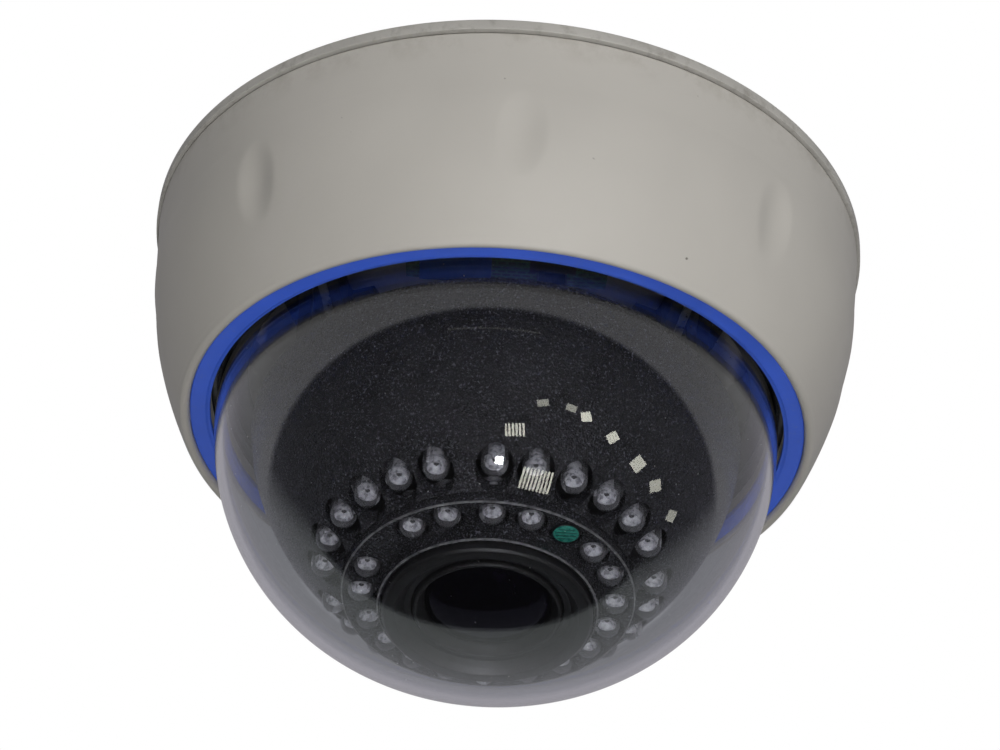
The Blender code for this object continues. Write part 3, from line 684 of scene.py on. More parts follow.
def carve(target, solids, operation="DIFFERENCE"):
    """Cuts solids, given as (points, faces), out of the target, or joins them, and applies it."""
    points, faces, first = [], [], 0
    for solid_points, solid_faces in solids:
        points.append(solid_points)
        faces += [group + first for group in solid_faces]
        first += len(solid_points)
    tool = put_mesh(target.name + "_tool", np.concatenate(points), faces, "satin_black")
    change = target.modifiers.new("Carve", "BOOLEAN")
    change.object = tool
    change.operation = operation
    change.solver = "EXACT"
    bpy.context.view_layer.update()
    seen = target.evaluated_get(bpy.context.evaluated_depsgraph_get())
    mesh = bpy.data.meshes.new_from_object(seen)
    target.modifiers.clear()
    old, name = target.data, target.data.name
    target.data = mesh
    bpy.data.meshes.remove(old)
    mesh.name = name
    bpy.data.objects.remove(tool, do_unlink=True)
    mesh.shade_smooth()
    mesh.set_sharp_from_angle(angle=SHARP_ANGLE)
    while len(mesh.materials) > 1:
        mesh.materials.pop()
    return target


def settle(piece, body, slot, *nodes):
    """Rides a piece on a body and hides the nodes that it stands for; its slot is not used."""
    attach(piece, body)
    if nodes:
        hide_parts(*nodes)


def circle_places(radius, angles):
    """(x, y) on a circle at angles in degrees."""
    a = np.radians(np.asarray(angles, dtype=float))
    return np.stack([radius * np.cos(a), radius * np.sin(a)], axis=1)


def circle_place(radius, angle):
    return circle_places(radius, [angle])[0]


# ---- cover ----


def housing_radius(height):
    """Outer radius at a height over the ring's face: a power curve up from the lip, then a slight taper."""
    rise = np.clip((height - LIP_H) / (HOUSING_SIDE_H - LIP_H), 0, 1)
    curved = LIP_R + (HOUSING_SIDE_R - LIP_R) * (1 - (1 - rise) ** CURVE_POWER)
    top_h = HOUSING_HIGH[2] - RING_Z
    above = np.clip((height - HOUSING_SIDE_H) / (top_h - HOUSING_SIDE_H), 0, 1)
    return curved + (HOUSING_HIGH[0] - HOUSING_SIDE_R) * above


def housing():
    """Housing: the outline is carried round Z, and each point's radius is lessened by the dimples' depth,
    which falls off as the square of 1 - (arc/half width)^2 - (rise/half height)^2 inside each oval."""
    sizes = bpy.context.scene.dome_camera_sizes
    top_h = HOUSING_HIGH[2] - RING_Z
    heights = np.concatenate([np.linspace(top_h - 0.5, 1.6, 110), [1.2, 0.8, 0.4]])
    outer = np.stack([housing_radius(heights), heights], axis=1)
    edge = arc((HOUSING_HIGH[0] - 0.5, top_h - 0.5), (0.5, 0.5), 90, 0, 5)[:-1]
    lip_center = RING_R + 1.05
    lip = arc((lip_center, LIP_H + 1.05), (1.0, 1.05), -8, -180, 12)
    inner_heights = np.linspace(SEAT_H[1], top_h, 24)
    inner = np.stack([housing_radius(inner_heights) - WALL, inner_heights], axis=1)
    seat = np.array([(RECESS_R, SEAT_H[0]), (SEAT_R, SEAT_H[0]), (SEAT_R, SEAT_H[1])])
    outline = np.concatenate([edge, outer, lip, seat, inner])
    outside = len(edge) + len(outer)
    sides = 640
    grid = turned_points(outline, sides)
    angle = np.linspace(0, 2 * np.pi, sides, endpoint=False)
    radius = np.hypot(grid[..., 0], grid[..., 1])
    start = sizes.dimple_turn - math.pi / 2
    pitch = 2 * np.pi / sizes.dimple_count
    offset = (angle - start + pitch / 2) % pitch - pitch / 2
    across = offset[None, :] * radius / sizes.dimple_width * 2
    upright = (outline[:, 1][:, None] - DIMPLE_H) / sizes.dimple_height * 2
    fall = np.clip(1 - across**2 - upright**2, 0, 1) ** 1.6
    depth = sizes.dimple_depth * fall
    depth[outside:] = 0.0
    factor = (radius - depth) / radius
    grid[..., :2] *= factor[..., None]
    grid[..., 2] += RING_Z
    faces = [wrap_faces(len(grid), sides, True, True)]
    piece = put_mesh("housing", grid.reshape(-1, 3), faces, "moulded_abs_housing")
    settle(piece, "cover", "housing_plastic", "housing_shell")
    low, high = RING_Z + SEAT_H[1] - 0.6, RETAINER_LOW[2] - 0.3
    for index, spot in enumerate(circle_places(BOSS_CIRCLE_R, SCREW_ANGLES)):
        outline = rounded(ring_corners(2.3, 0.0, low, high), 0.2)
        boss = turned(f"screw_boss_{index + 1}", outline, "moulded_abs_housing", 24, spot=spot)
        settle(boss, "cover", "housing_plastic")
    for index, angle in enumerate(HOOK_ANGLES):
        middle = circle_place(LUG_CIRCLE_R, angle)
        solid = prism(slot_outline(*LUG_SIZE, middle, angle + 90.0), *LUG_HEIGHTS)
        lug = put_mesh(f"bayonet_lug_{index + 1}", solid[0], solid[1], "moulded_abs_housing")
        settle(lug, "cover", "housing_plastic")


def trim_ring():
    """Blue ring: a flat ring with a soft outer edge and a small step down to its inner edge."""
    inner, outer = RING_INNER_R + 0.02, RING_R - 0.02
    top = RING_HIGH[2] - RING_Z
    outside = [(outer, top), (outer, 0.12), (outer - 0.35, 0.0)]
    inside = [(inner + 0.9, 0.0), (inner + 0.5, 0.25), (inner, 0.35), (inner, top)]
    outline = rounded(outside + inside, 0.15) + np.array([0.0, RING_Z])
    settle(turned("blue_trim_ring", outline, "moulded_abs_blue", 360), "cover", "blue_plastic", "trim_ring")


def dome_side(inset, count=96):
    """Dome's side from its edge to its pole: (r/R)^p + (depth/D)^p = 1, at an inset."""
    depth = DOME_EDGE_H + RING_Z - DOME_LOW[2] - inset
    quarter = np.abs(arc((0, 0), (1.0, 1.0), 0, -90, count)) ** (2 / DOME_POWER)
    points = quarter * [DOME_R - inset, -depth] + [0.0, DOME_EDGE_H]
    points[-1, 0] = 0.0
    return points


def dome():
    """Clear dome: the side curve and its inset under a short straight wall, with a flange above; the
    outline is carried round Z and closed at both poles."""
    inner_r = DOME_R - DOME_T
    flange_r = DOME_HIGH[0]
    outer, inner = dome_side(0.0), dome_side(DOME_T)[::-1]
    high = DOME_HIGH[2] - RING_Z
    walls = np.linspace(DOME_EDGE_H, high, 12)[1:]
    inner_wall = np.stack([np.full(len(walls), inner_r), walls], axis=1)
    under = DOME_FLANGE_LOW_H
    flange = np.array([(flange_r, high), (flange_r, under), (DOME_R + 0.4, under)])
    root = arc((DOME_R + 0.4, under - 0.4), (0.4, 0.4), 90, 180, 5)
    outer_walls = np.linspace(under - 0.5, DOME_EDGE_H, 12)[:-1]
    outer_wall = np.stack([np.full(len(outer_walls), DOME_R), outer_walls], axis=1)
    outline = np.concatenate([inner, inner_wall, flange, root, outer_wall, outer])
    outline[:, 1] += RING_Z
    piece = turned("clear_dome", outline, "clear_polycarbonate", 256, closed=False)
    settle(piece, "cover", "clear_dome", "dome")


def dome_fixings():
    """Seal, black retainer ring and its screws, all turned about Z."""
    low, high = SEAL_LOW[2], SEAL_HIGH[2]
    corners = ring_corners(57.0, 55.5, low, high)
    seal = turned("dome_seal_ring", rounded(corners, 0.2), "moulded_rubber")
    settle(seal, "cover", "black_rubber", "dome_seal")
    low, high = RETAINER_LOW[2], RETAINER_HIGH[2]
    outer = RETAINER_HIGH[0]
    step = [(50.6, high), (50.6, high - 0.4), (56.8, high - 0.4), (56.8, high)]
    corners = [(outer, high), (outer, low), (49.0, low), (49.0, high), *step]
    ring = turned("retainer_ring", rounded(corners, 0.15), "satin_black")
    holes = []
    for spot in circle_places(RETAINER_SCREW_CIRCLE_R, SCREW_ANGLES):
        holes.append(prism(round_outline(SCREW_HOLE, spot), low - 2, high + 2))
    settle(carve(ring, holes), "cover", "black_plastic", "dome_retainer")
    for index, spot in enumerate(circle_places(RETAINER_SCREW_CIRCLE_R, SCREW_ANGLES)):
        screw = pan_head_screw(f"retainer_fixing_{index + 1}", spot, high + 0.3)
        settle(screw, "cover", "steel", f"retainer_screw_{index + 1}")


def pan_head_screw(name, spot, seat):
    """Pan-head screw with a cross recess: a turned outline whose head is a quarter ellipse and whose
    shaft carries a thread of cosine ridges, with the cross cut by two slots."""
    head_r, head_t = SCREW_HEAD
    shaft_r, shaft_l = SCREW_SHAFT
    head = arc((head_r * 0.45, 0.0), (head_r * 0.55, head_t), 90, 0, 10)
    steps = np.linspace(0, 1, int(shaft_l * 10))
    ridge = 0.08 - 0.08 * np.cos(steps * shaft_l / SCREW_PITCH * 2 * np.pi)
    thread = np.stack([shaft_r - ridge, -shaft_l * steps], axis=1)
    outline = np.concatenate([[(0.0, head_t)], head, thread, [(0.0, -shaft_l)]])
    outline[:, 1] += seat
    screw = turned(name, outline, "zinc_plated_steel", 32, spot=spot, closed=False)
    low, high = seat + head_t * 0.45, seat + head_t + 1
    for turn in (20.0, 110.0):
        carve(screw, [prism(slot_outline(head_r * 1.1, 0.45, spot, turn), low, high)])
    return screw


# ---- base ----


def base_plate():
    """Base plate: a turned disc with a gasket groove, shallow pressed rings and a spigot, cut by three
    round-ended ceiling slots, the cable hole and small drain holes, with bayonet hooks joined on."""
    thick = PLATE_T
    inner, outer = SPIGOT_R
    low = BASE_LOW[2]
    groove_in, groove_out, groove_h = GASKET_GROOVE
    corners = [
        (0.0, 0.0), (36.0, 0.0), (36.6, -0.5), (41.0, -0.5), (41.6, 0.0), (groove_in, 0.0),
        (groove_in, groove_h), (groove_out, groove_h), (groove_out, 0.0), (BASE_R - 0.5, 0.0),
        (BASE_R, -0.5), (BASE_R, -thick), (outer, -thick), (outer, low), (inner, low), (inner, -thick),
        (0.0, -thick),
    ]
    outline = rounded(corners, 0.2)
    plate = turned("ceiling_base", outline, "die_cast_base", 320)
    hooks = [slot_outline(*HOOK_SIZE, circle_place(HOOK_CIRCLE_R, a), a + 90.0) for a in HOOK_ANGLES]
    carve(plate, [prism(hook, low, low + 2.0) for hook in hooks], "UNION")
    cable = ((GROMMET_LOW + GROMMET_HIGH) / 2)[:2]
    cuts = [prism(round_outline(CABLE_HOLE, cable, 32), -8, 3)]
    for angle in SLOT_ANGLES:
        spot = circle_place(SLOT_CIRCLE_R, angle)
        cuts.append(prism(slot_outline(*SLOT_SIZE, spot, angle + 90.0), -6, 3))
    carve(plate, cuts)
    countersinks = []
    for angle in SLOT_ANGLES:
        spot = circle_place(SLOT_CIRCLE_R, angle)
        countersinks.append(prism(slot_outline(*COUNTERSINK_SIZE, spot, angle + 90.0), -0.7, 3))
    for angle in HOOK_ANGLES:
        spot = circle_place(DRAIN_CIRCLE_R, angle)
        countersinks.append(prism(round_outline(DRAIN_HOLE, spot), -6, 3))
    carve(plate, countersinks)
    settle(plate, "base", "base_metal", "base_plate")


def base_seals():
    """Ceiling gasket, cover seal and cable grommet: turned rubber rings."""
    low, high = GASKET_LOW[2], GASKET_HIGH[2]
    corners = ring_corners(68.5, 67.1, low, high)
    piece = turned("ceiling_gasket", rounded(corners, 0.2), "moulded_rubber", 256)
    settle(piece, "base", "black_rubber", "mounting_gasket")
    low, high = node_box("cover_seal")
    corners = ring_corners(66.6, 65.0, low[2], high[2])
    piece = turned("cover_seal_ring", rounded(corners, 0.4), "moulded_rubber", 256)
    settle(piece, "base", "black_rubber", "cover_seal")
    low, high = GROMMET_LOW[2], GROMMET_HIGH[2]
    center = ((GROMMET_LOW + GROMMET_HIGH) / 2)[:2]
    throat = [(5.0, low), (5.0, low + 1.2), (6.2, low + 2.0), (6.2, high)]
    corners = [(8.2, high), (8.2, -2.9), (10.6, -2.9), (10.6, low), *throat]
    piece = turned("rubber_grommet", rounded(corners, 0.35), "moulded_rubber", 96, spot=center)
    settle(piece, "base", "black_rubber", "cable_grommet")


# ---- ball ----


def outer_places():
    """Places of the outer lamps: four groups of six at an even pitch."""
    angles = [ROW_START + 90 * q + OUTER_PITCH * k for q in range(4) for k in range(6)]
    return circle_places(OUTER_ROW_R, angles)


def inner_places(skip=()):
    """Places of the inner row: four groups of five at an even pitch, without those skipped."""
    spots = [(q, k) for q in range(4) for k in range(5) if (q, k) not in skip]
    return circle_places(INNER_ROW_R, [ROW_START + 90 * q + INNER_PITCH * k for q, k in spots])


def pockets(places, radius, low, high):
    """Solids that cut round pockets: prisms in the ball's frame."""
    solids = []
    for spot in places:
        outline = round_outline(radius * 2, spot, 20)
        points, faces = prism(outline, low, high)
        solids.append((in_ball(points), faces))
    return solids


def ball_side(inset, count):
    """Ball's side from back rim to mouth: an ellipse's arc, longer along the lens, at an inset."""
    radius, length = BALL_R - inset, BALL_LONG - inset
    start = math.degrees(math.asin(BALL_RIM / length))
    end = math.degrees(math.acos(BALL_MOUTH_R / radius))
    return arc((0, 0), (radius, length), start, end, count)


def ball_shell():
    """Ball: the side arc and its inset carried round the lens axis, with a faint moulding step, and a
    round pocket for each outer lamp."""
    sizes = bpy.context.scene.dome_camera_sizes
    outer = ball_side(0.0, 90)
    step = np.clip((outer[:, 1] - sizes.ball_step) / 0.25, 0, 1)
    outer -= outer / BALL_R * 0.22 * (1 - step)[:, None]
    inner = ball_side(BALL_T, 40)[::-1]
    outline = np.concatenate([outer, inner])
    shell = turned("ball_shell", outline, "spark_eroded_black", 256, ball=True)
    carve(shell, pockets(outer_places(), sizes.pocket_radius, 31.0, 46.0))
    settle(shell, "ball", "black_plastic", "eye_shell")


def front_cap():
    """Raised front of the ball: a turned step with a lip round the lens, a pocket for each inner lamp, and
    a thin pale band of painted highlight on its two edges."""
    sizes = bpy.context.scene.dome_camera_sizes
    low, high = CAP_L
    inner, outer = CAP_R
    lip_r, lip_l = CAP_LIP
    corners = [
        (inner, lip_l), (lip_r - 0.1, lip_l), (lip_r, high + 1.2), (lip_r + 0.25, high), (outer, high),
        (outer + 0.05, high - 1.0), (outer, low), (outer - 1.1, low), (outer - 1.1, high - 1.4),
        (inner, high - 1.4),
    ]
    cap = turned("front_cap", rounded(corners, 0.18, 5), "spark_eroded_black", 256, ball=True)
    radius = sizes.pocket_radius - 0.35
    carve(cap, pockets(inner_places([EMPTY_PLACE]), radius, low - 1.0, high + 2.0))
    settle(cap, "ball", "black_plastic", "lamp_cap")
    # Thin pale bands on the two edges: painted highlight, where the edges catch the light.
    edges = {"cap_edge": (outer - 0.12, high - 0.02), "cap_lip_edge": (lip_r - 0.14, lip_l)}
    for name, place in edges.items():
        band = rounded(np.array([(0.2, 0.0), (0.2, -0.3), (-0.1, 0.06)]) + place, 0.05)
        settle(turned(name, band, "black_edge_painted_highlight", 256, ball=True), "ball", "black_plastic")


def lamp_outline(board, tip):
    """Outline of a 5 mm lamp: half-ellipse tip, straight body and flange, all closed on the axis."""
    body_r = LAMP_R - 0.03
    nose = arc((0, tip - 2.6), (body_r, 2.6), 0, 90, 14)[::-1]
    nose[0, 0] = 0.0
    foot = [(body_r, board + 1.15), (2.7, board + 1.1), (2.7, board + 0.1), (0.0, board + 0.1)]
    return np.concatenate([nose, foot])


def lamps():
    """Two rows of lamps: clear bodies, and in each a lead frame with a reflector cup and a side post."""
    inner_spots = inner_places((PHOTOCELL_PLACE, EMPTY_PLACE))
    rows = (
        ("outer", outer_places(), OUTER_BOARD_L, OUTER_TIP_L, "outer_lamp_board"),
        ("inner", inner_spots, INNER_BOARD_L, INNER_TIP_L, "inner_lamp_board"),
    )
    for row, places, board, tip, node in rows:
        bodies = many_turned(f"{row}_lamp_bodies", lamp_outline(board, tip), "lamp_epoxy", places, 28)
        settle(bodies, "ball", "lamps", node)
        cup_top = tip - CUP_DROP
        cup = [
            (0.0, cup_top - 0.75), (0.45, cup_top - 0.7), (0.95, cup_top), (1.1, cup_top),
            (1.1, cup_top - 1.0), (0.7, cup_top - 1.4), (0.7, board + 0.3), (0.0, board + 0.3),
        ]
        # The cups and posts take a near-white finish whose white patches are partly painted highlight.
        cups = many_turned(f"{row}_lamp_cups", cup, "lead_frame_painted_highlight", places, 20)
        settle(cups, "ball", "lamps")
        die_top, die_low = cup_top - 0.35, cup_top - 0.7
        dies = [(0.0, die_top), (0.28, die_top), (0.28, die_low), (0.0, die_low)]
        settle(many_turned(f"{row}_lamp_dies", dies, "satin_black", places, 4), "ball", "lamps")
        side = places + circle_places(POST_CIRCLE_R, np.arange(len(places)) * POST_TURN)
        post = [(0.0, cup_top + 0.25), (0.35, cup_top + 0.1), (0.35, board + 0.3), (0.0, board + 0.3)]
        settle(many_turned(f"{row}_lamp_posts", post, "lead_frame_painted_highlight", side, 8), "ball", "lamps")
        lamp_board(row, board)


def lamp_board(row, top):
    """Ring board under a row of lamps."""
    inner, outer = BOARD_R[row]
    corners = ring_corners(outer, inner, top - BOARD_T, top)
    piece = turned(f"{row}_ring_board", rounded(corners, 0.1), "black_solder_mask", 128, ball=True)
    settle(piece, "ball", "circuit_board")


def light_sensor():
    """Light sensor: a disc with a dark rim, and on its green layer a dark track in four slanted runs."""
    group, step = PHOTOCELL_PLACE
    spot = circle_place(INNER_ROW_R, ROW_START + 90 * group + INNER_PITCH * step)
    top = PHOTOCELL_L
    board = INNER_BOARD_L + 0.6
    side = [(2.3, top), (2.45, top - 0.2), (2.5, top - 0.6), (2.5, board)]
    rim = [*side, (0.0, board), (0.0, top - 0.3), (2.25, top - 0.3)]
    piece = turned("sensor_rim", rounded(rim, 0.08), "satin_black", 48, ball=True, spot=spot)
    settle(piece, "ball", "cell_face", "photocell")
    face = ring_corners(2.24, 0.0, top - 0.25, top - 0.05)
    settle(turned("sensor_layer", face, "sintered_cell", 48, ball=True, spot=spot), "ball", "cell_face")
    for index, y in enumerate(TRACK_ROWS):
        half = math.sqrt(TRACK_REACH**2 - y**2)
        bar = np.array([(-half, y - 0.3), (half, y - 0.1), (half, y + 0.06), (-half, y - 0.14)])
        points, faces = prism(bar, top - 0.08, top - 0.02)
        points[:, :2] += spot
        run = put_mesh(f"sensor_track_{index + 1}", in_ball(points), faces, "satin_black")
        settle(run, "ball", "cell_face")


# ---- lens ----


def lens_front():
    """Hood ring, front barrel and glass: turned outlines, with a groove between ring and barrel, and the
    glass a shallow half ellipse nearly flush in the barrel."""
    low, high = HOOD_L
    bore = FRONT_BARREL_R + 0.3
    corners = [
        (HOOD_R - 0.5, high), (HOOD_R, high - 0.45), (HOOD_R, low + 2.0), (HOOD_R - 2.0, low),
        (bore, low), (bore, HOOD_GROOVE_L), (HOOD_FACE_R - 0.9, HOOD_GROOVE_L),
        (HOOD_FACE_R - 0.2, high - 1.0), (HOOD_FACE_R + 0.5, high - 0.25), (HOOD_FACE_R + 0.7, high),
    ]
    piece = turned("lens_hood_ring", rounded(corners, 0.12), "satin_black", 256, ball=True)
    settle(piece, "lens_front", "black_plastic", "lens_hood")
    seat_r = GLASS_R + 0.3
    corners = [
        (FRONT_BARREL_R - 0.3, FRONT_FACE_L), (FRONT_BARREL_R, FRONT_FACE_L - 0.4),
        (FRONT_BARREL_R, 33.4), (11.8, 33.4), (11.8, 20.0), (9.6, 20.0), (9.6, GLASS_SEAT_L),
        (seat_r, GLASS_SEAT_L), (seat_r, GLASS_EDGE_L + 0.4), (seat_r + 0.9, FRONT_FACE_L - 0.5),
        (seat_r + 1.1, FRONT_FACE_L),
    ]
    piece = turned("lens_front_barrel", rounded(corners, 0.12), "satin_black", 192, ball=True)
    settle(piece, "lens_front", "black_plastic", "front_barrel")
    bulge = arc((0, GLASS_EDGE_L), (GLASS_R, GLASS_BULGE), 0, 90, 32)[::-1]
    bulge[0, 0] = 0.0
    outline = np.concatenate([bulge, [(GLASS_R, GLASS_SEAT_L + 0.3), (0.0, GLASS_SEAT_L + 0.3)]])
    piece = turned("lens_front_glass", outline, "coated_glass", 128, ball=True, closed=False)
    settle(piece, "lens_front", "lens_glass", "front_glass")


def knurled_rings():
    """Zoom and focus rings: a turned outline whose outer radius is scalloped by a cosine of the angle."""
    for name, node, body in (("zoom_grip", "zoom_ring", "zoom"), ("focus_grip", "focus_ring", "focus")):
        low, high = ring_span(node)
        outline = rounded(ring_corners(GRIP_R[1], GRIP_R[0], low, high), 0.3)
        sides = 288
        grid = turned_points(outline, sides)
        angle = np.linspace(0, 2 * np.pi, sides, endpoint=False)
        ridge = GRIP_RIDGE_DEPTH * (0.5 - 0.5 * np.cos(angle * GRIP_RIDGES))
        outside = (outline[:, 0] > GRIP_R[1] - 0.4)[:, None]
        factor = 1 - np.where(outside, ridge[None, :], 0.0) / np.maximum(outline[:, 0][:, None], 1.0)
        grid[..., :2] *= factor[..., None]
        faces = [wrap_faces(len(grid), sides, True, True)]
        piece = put_mesh(name, in_ball(grid.reshape(-1, 3)), faces, "satin_black")
        settle(piece, body, "black_plastic", node)


def ring_span(node):
    """Lowest and highest place of a ring along the lens axis, from its vertices."""
    mesh = frame["nodes"][node].data
    points = np.empty(len(mesh.vertices) * 3)
    mesh.vertices.foreach_get("co", points)
    along = (points.reshape(-1, 3) / MM - BALL_CENTER) @ LENS_AXIS
    return along.min(), along.max()


# ---- pieces kept from the frame ----

KEPT_FINISHES = {
    "satin_black": ["eye_base", "roll_clamp", "lens_holder", "lens_barrel", "video_socket"],
    "painted_steel": ["swivel_yoke", "cradle", "swivel_seat", "image_sensor", "board_capacitor"],
    "zinc_plated_steel": [
        "swivel_clip",
        *(f"seat_screw_{index}" for index in (1, 2, 3)),
        "pan_lock_screw",
        "pivot_screw_left",
        "pivot_screw_right",
        *(f"board_spacer_{index}" for index in (1, 2, 3, 4)),
        "zoom_lock_screw",
        "focus_lock_screw",
    ],
    "solder_mask": ["power_board", "sensor_board", "processor_board"],
    "moulded_polyamide": ["terminal_block"],
    "coated_glass": ["rear_glass"],
}


def dress_kept_nodes():
    """Gives each node that stays its finish."""
    for look, names in KEPT_FINISHES.items():
        for name in names:
            node = frame["nodes"][name]
            node.data.materials.clear()
            node.data.materials.append(finish(look))


# ---- stage ----

CAMERA_DISTANCE = 600.0
CAMERA_ELEVATION = 34.51
CAMERA_ROLL = 3.70
CAMERA_AIM = (-0.0733, 1.108)  # degrees from the lens axis to the ring's centre, rightwards and downwards
CAMERA_LENS = 112.32
CEILING_WAY = (0.0, 0.279, 0.96)
WALL_TOP_WAY = (0.09, 0.513, 0.853)
FLASH_WAY = (0.03, -0.66, -0.75)
FLASH_SIZE = 0.03
TUBE_COLOR = (1.0, 1.0, 0.86)
FLOOR_HALF = 12000.0
BEHIND_WAY = (0.0, 1.0, 0.0)
DOME_MIDDLE = Vector((0.0, 0.0, -0.07))


def camera():
    """Camera below the dome: looks along (0, cos e, sin e), rolled about that, then turned by the least
    turn that brings its axis onto the ray to the ring's centre."""
    data = bpy.data.cameras.new("camera")
    made = add_object("camera", data)
    data.sensor_width = 36.0
    data.lens = CAMERA_LENS
    data.clip_start = 0.01
    data.clip_end = 50.0
    e = math.radians(CAMERA_ELEVATION)
    forward = Vector((0.0, math.cos(e), math.sin(e)))
    right = Vector((1.0, 0.0, 0.0))
    level = Matrix((right, forward.cross(right), forward))
    roll = Matrix.Rotation(math.radians(CAMERA_ROLL), 3, "Z")
    ray = Vector((*(math.tan(math.radians(angle)) for angle in CAMERA_AIM), 1.0))
    turn = Vector((0.0, 0.0, 1.0)).rotation_difference(ray).to_matrix()
    axes = (turn @ roll @ level).transposed()
    target = Vector((0.0, 0.0, RING_Z * MM))
    place = target - axes @ ray * (CAMERA_DISTANCE * MM)
    flip = Matrix.Diagonal((1.0, -1.0, -1.0))
    made.matrix_world = Matrix.Translation(place) @ (axes @ flip).to_4x4()
    bpy.context.scene.camera = made
    return made


def soft_light(name, place, size, power, mirrored=False):
    """A square area light at a place in metres, facing the ring's centre."""
    data = bpy.data.lights.new(name, "AREA")
    data.size = size
    data.energy = power
    made = add_object(name, data)
    made.location = place
    toward = Vector((0.0, 0.0, RING_Z * MM)) - Vector(place)
    made.rotation_euler = toward.to_track_quat("-Z", "Y").to_euler()
    made.visible_glossy = mirrored
    made.visible_transmission = mirrored


def tubes(name, way, across, count, turn, power):
    """A fixture of parallel tubes a metre off, seen only in reflections, in a direction from the dome."""
    middle = DOME_MIDDLE + Vector(way).normalized()
    for index in range(count):
        data = bpy.data.lights.new(f"{name}_{index + 1}", "AREA")
        data.shape = "RECTANGLE"
        data.size = across[0] / count * 0.6
        data.size_y = across[1]
        data.energy = power / count
        data.color = TUBE_COLOR
        made = add_object(data.name, data)
        face = (DOME_MIDDLE - middle).to_track_quat("-Z", "Y").to_matrix()
        face = face @ Matrix.Rotation(math.radians(turn), 3, "Z")
        place = middle + face @ Vector((across[0] * ((index + 0.5) / count - 0.5), 0.0, 0.0))
        made.matrix_world = Matrix.Translation(place) @ face.to_4x4()
        made.visible_diffuse = False
        made.visible_transmission = False
        made.visible_camera = False


def studio_world():
    """World: white for the camera, grey for light seen through the dome, soft light on surfaces, and for
    reflections a dark room with a pale ceiling, and behind the object a wall down to a sharp edge."""
    world = bpy.data.worlds.new("studio")
    bpy.context.scene.world = world
    world.use_nodes = True
    tree = world.node_tree
    tree.nodes.clear()
    looks = bpy.context.scene.dome_camera_stage
    room, ceiling = grey(looks.room_level), grey(looks.ceiling_level)
    level = looks.wall_level
    low_wall, high_wall = (level * 0.93, level, level * 0.97, 1.0), (level, level * 0.97, level * 1.04, 1.0)
    way = {0: "place:Generated"}
    last = add_rows(
        tree,
        [
            ("place", PLACE, {}, {}),
            ("up", VECTOR, {"operation": "DOT_PRODUCT", 1: CEILING_WAY}, way),
            ("high", VECTOR, {"operation": "DOT_PRODUCT", 1: WALL_TOP_WAY}, way),
            ("back", VECTOR, {"operation": "DOT_PRODUCT", 1: BEHIND_WAY}, way),
            ("over", SPAN, {"ends": (0.02, 0.045, 0.0, 1.0)}, {"Value": "up:Value"}),
            ("above", MIX, {**COLOR, "A": room, "B": ceiling}, {"Factor": "over:Result"}),
            ("rise", SPAN, {"ends": (-0.3, 0.6, 0.0, 1.0)}, {"Value": "high:Value"}),
            ("wall", MIX, {**COLOR, "A": low_wall, "B": high_wall}, {"Factor": "rise:Result"}),
            ("edge", SPAN, {"ends": (-0.287, -0.272, 0.0, 1.0)}, {"Value": "high:Value"}),
            ("far", SPAN, {"ends": (0.3, 0.5, 0.0, 1.0)}, {"Value": "back:Value"}),
            ("part", MATH, {"operation": "MULTIPLY"}, {0: "edge:Result", 1: "far:Result"}),
            ("mirrored", MIX, COLOR, {"Factor": "part:Value", "A": "above:Result", "B": "wall:Result"}),
            ("path", PATH, {}, {}),
            ("bounced", MATH, {"operation": "GREATER_THAN", 1: 0.5}, {0: "path:Glossy Depth"}),
            (
                "shiny",
                MATH,
                {"operation": "SUBTRACT", "use_clamp": True},
                {0: "bounced:Value", 1: "path:Is Diffuse Ray"},
            ),
            (
                "through",
                MIX,
                {**COLOR, "A": grey(looks.fill_level), "B": grey(looks.through_level)},
                {"Factor": "path:Is Transmission Ray"},
            ),
            (
                "glossy",
                MIX,
                COLOR,
                {"Factor": "shiny:Value", "A": "through:Result", "B": "mirrored:Result"},
            ),
            (
                "seen",
                MIX,
                {**COLOR, "B": grey(looks.backdrop_level)},
                {"Factor": "path:Is Camera Ray", "A": "glossy:Result"},
            ),
            ("back_light", "ShaderNodeBackground", {}, {"Color": "seen:Result"}),
        ],
    )
    add_node(tree, "ShaderNodeOutputWorld", {}, {"Surface": last.outputs[0]})


# Fixtures that the dome mirrors: direction, width and height, tubes, turn in degrees and power.
FIXTURES = {
    "near_fixture": ((0.12, -0.80, -0.58), (0.14, 0.10), 6, 10.0, 0.25),
    "far_fixture": ((0.27, -0.51, -0.82), (0.21, 0.17), 9, 10.0, 0.6),
    "wall_strip": ((-0.05, -0.98, 0.145), (1.0, 0.012), 1, 0.0, 0.012),
    "spot_a": ((0.29, -0.88, -0.37), (0.13, 0.05), 1, 20.0, 0.05),
    "spot_b": ((0.47, -0.81, -0.35), (0.12, 0.05), 1, 0.0, 0.05),
    "spot_c": ((0.56, -0.74, -0.37), (0.12, 0.07), 1, 30.0, 0.16),
    "spot_d": ((0.71, -0.57, -0.41), (0.14, 0.07), 1, 60.0, 0.16),
    "spot_e": ((0.83, -0.34, -0.44), (0.17, 0.09), 1, 80.0, 0.2),
    "spot_f": ((0.89, -0.14, -0.44), (0.15, 0.08), 1, 60.0, 0.12),
    "spot_g": ((0.90, 0.12, -0.42), (0.12, 0.07), 1, 40.0, 0.06),
}


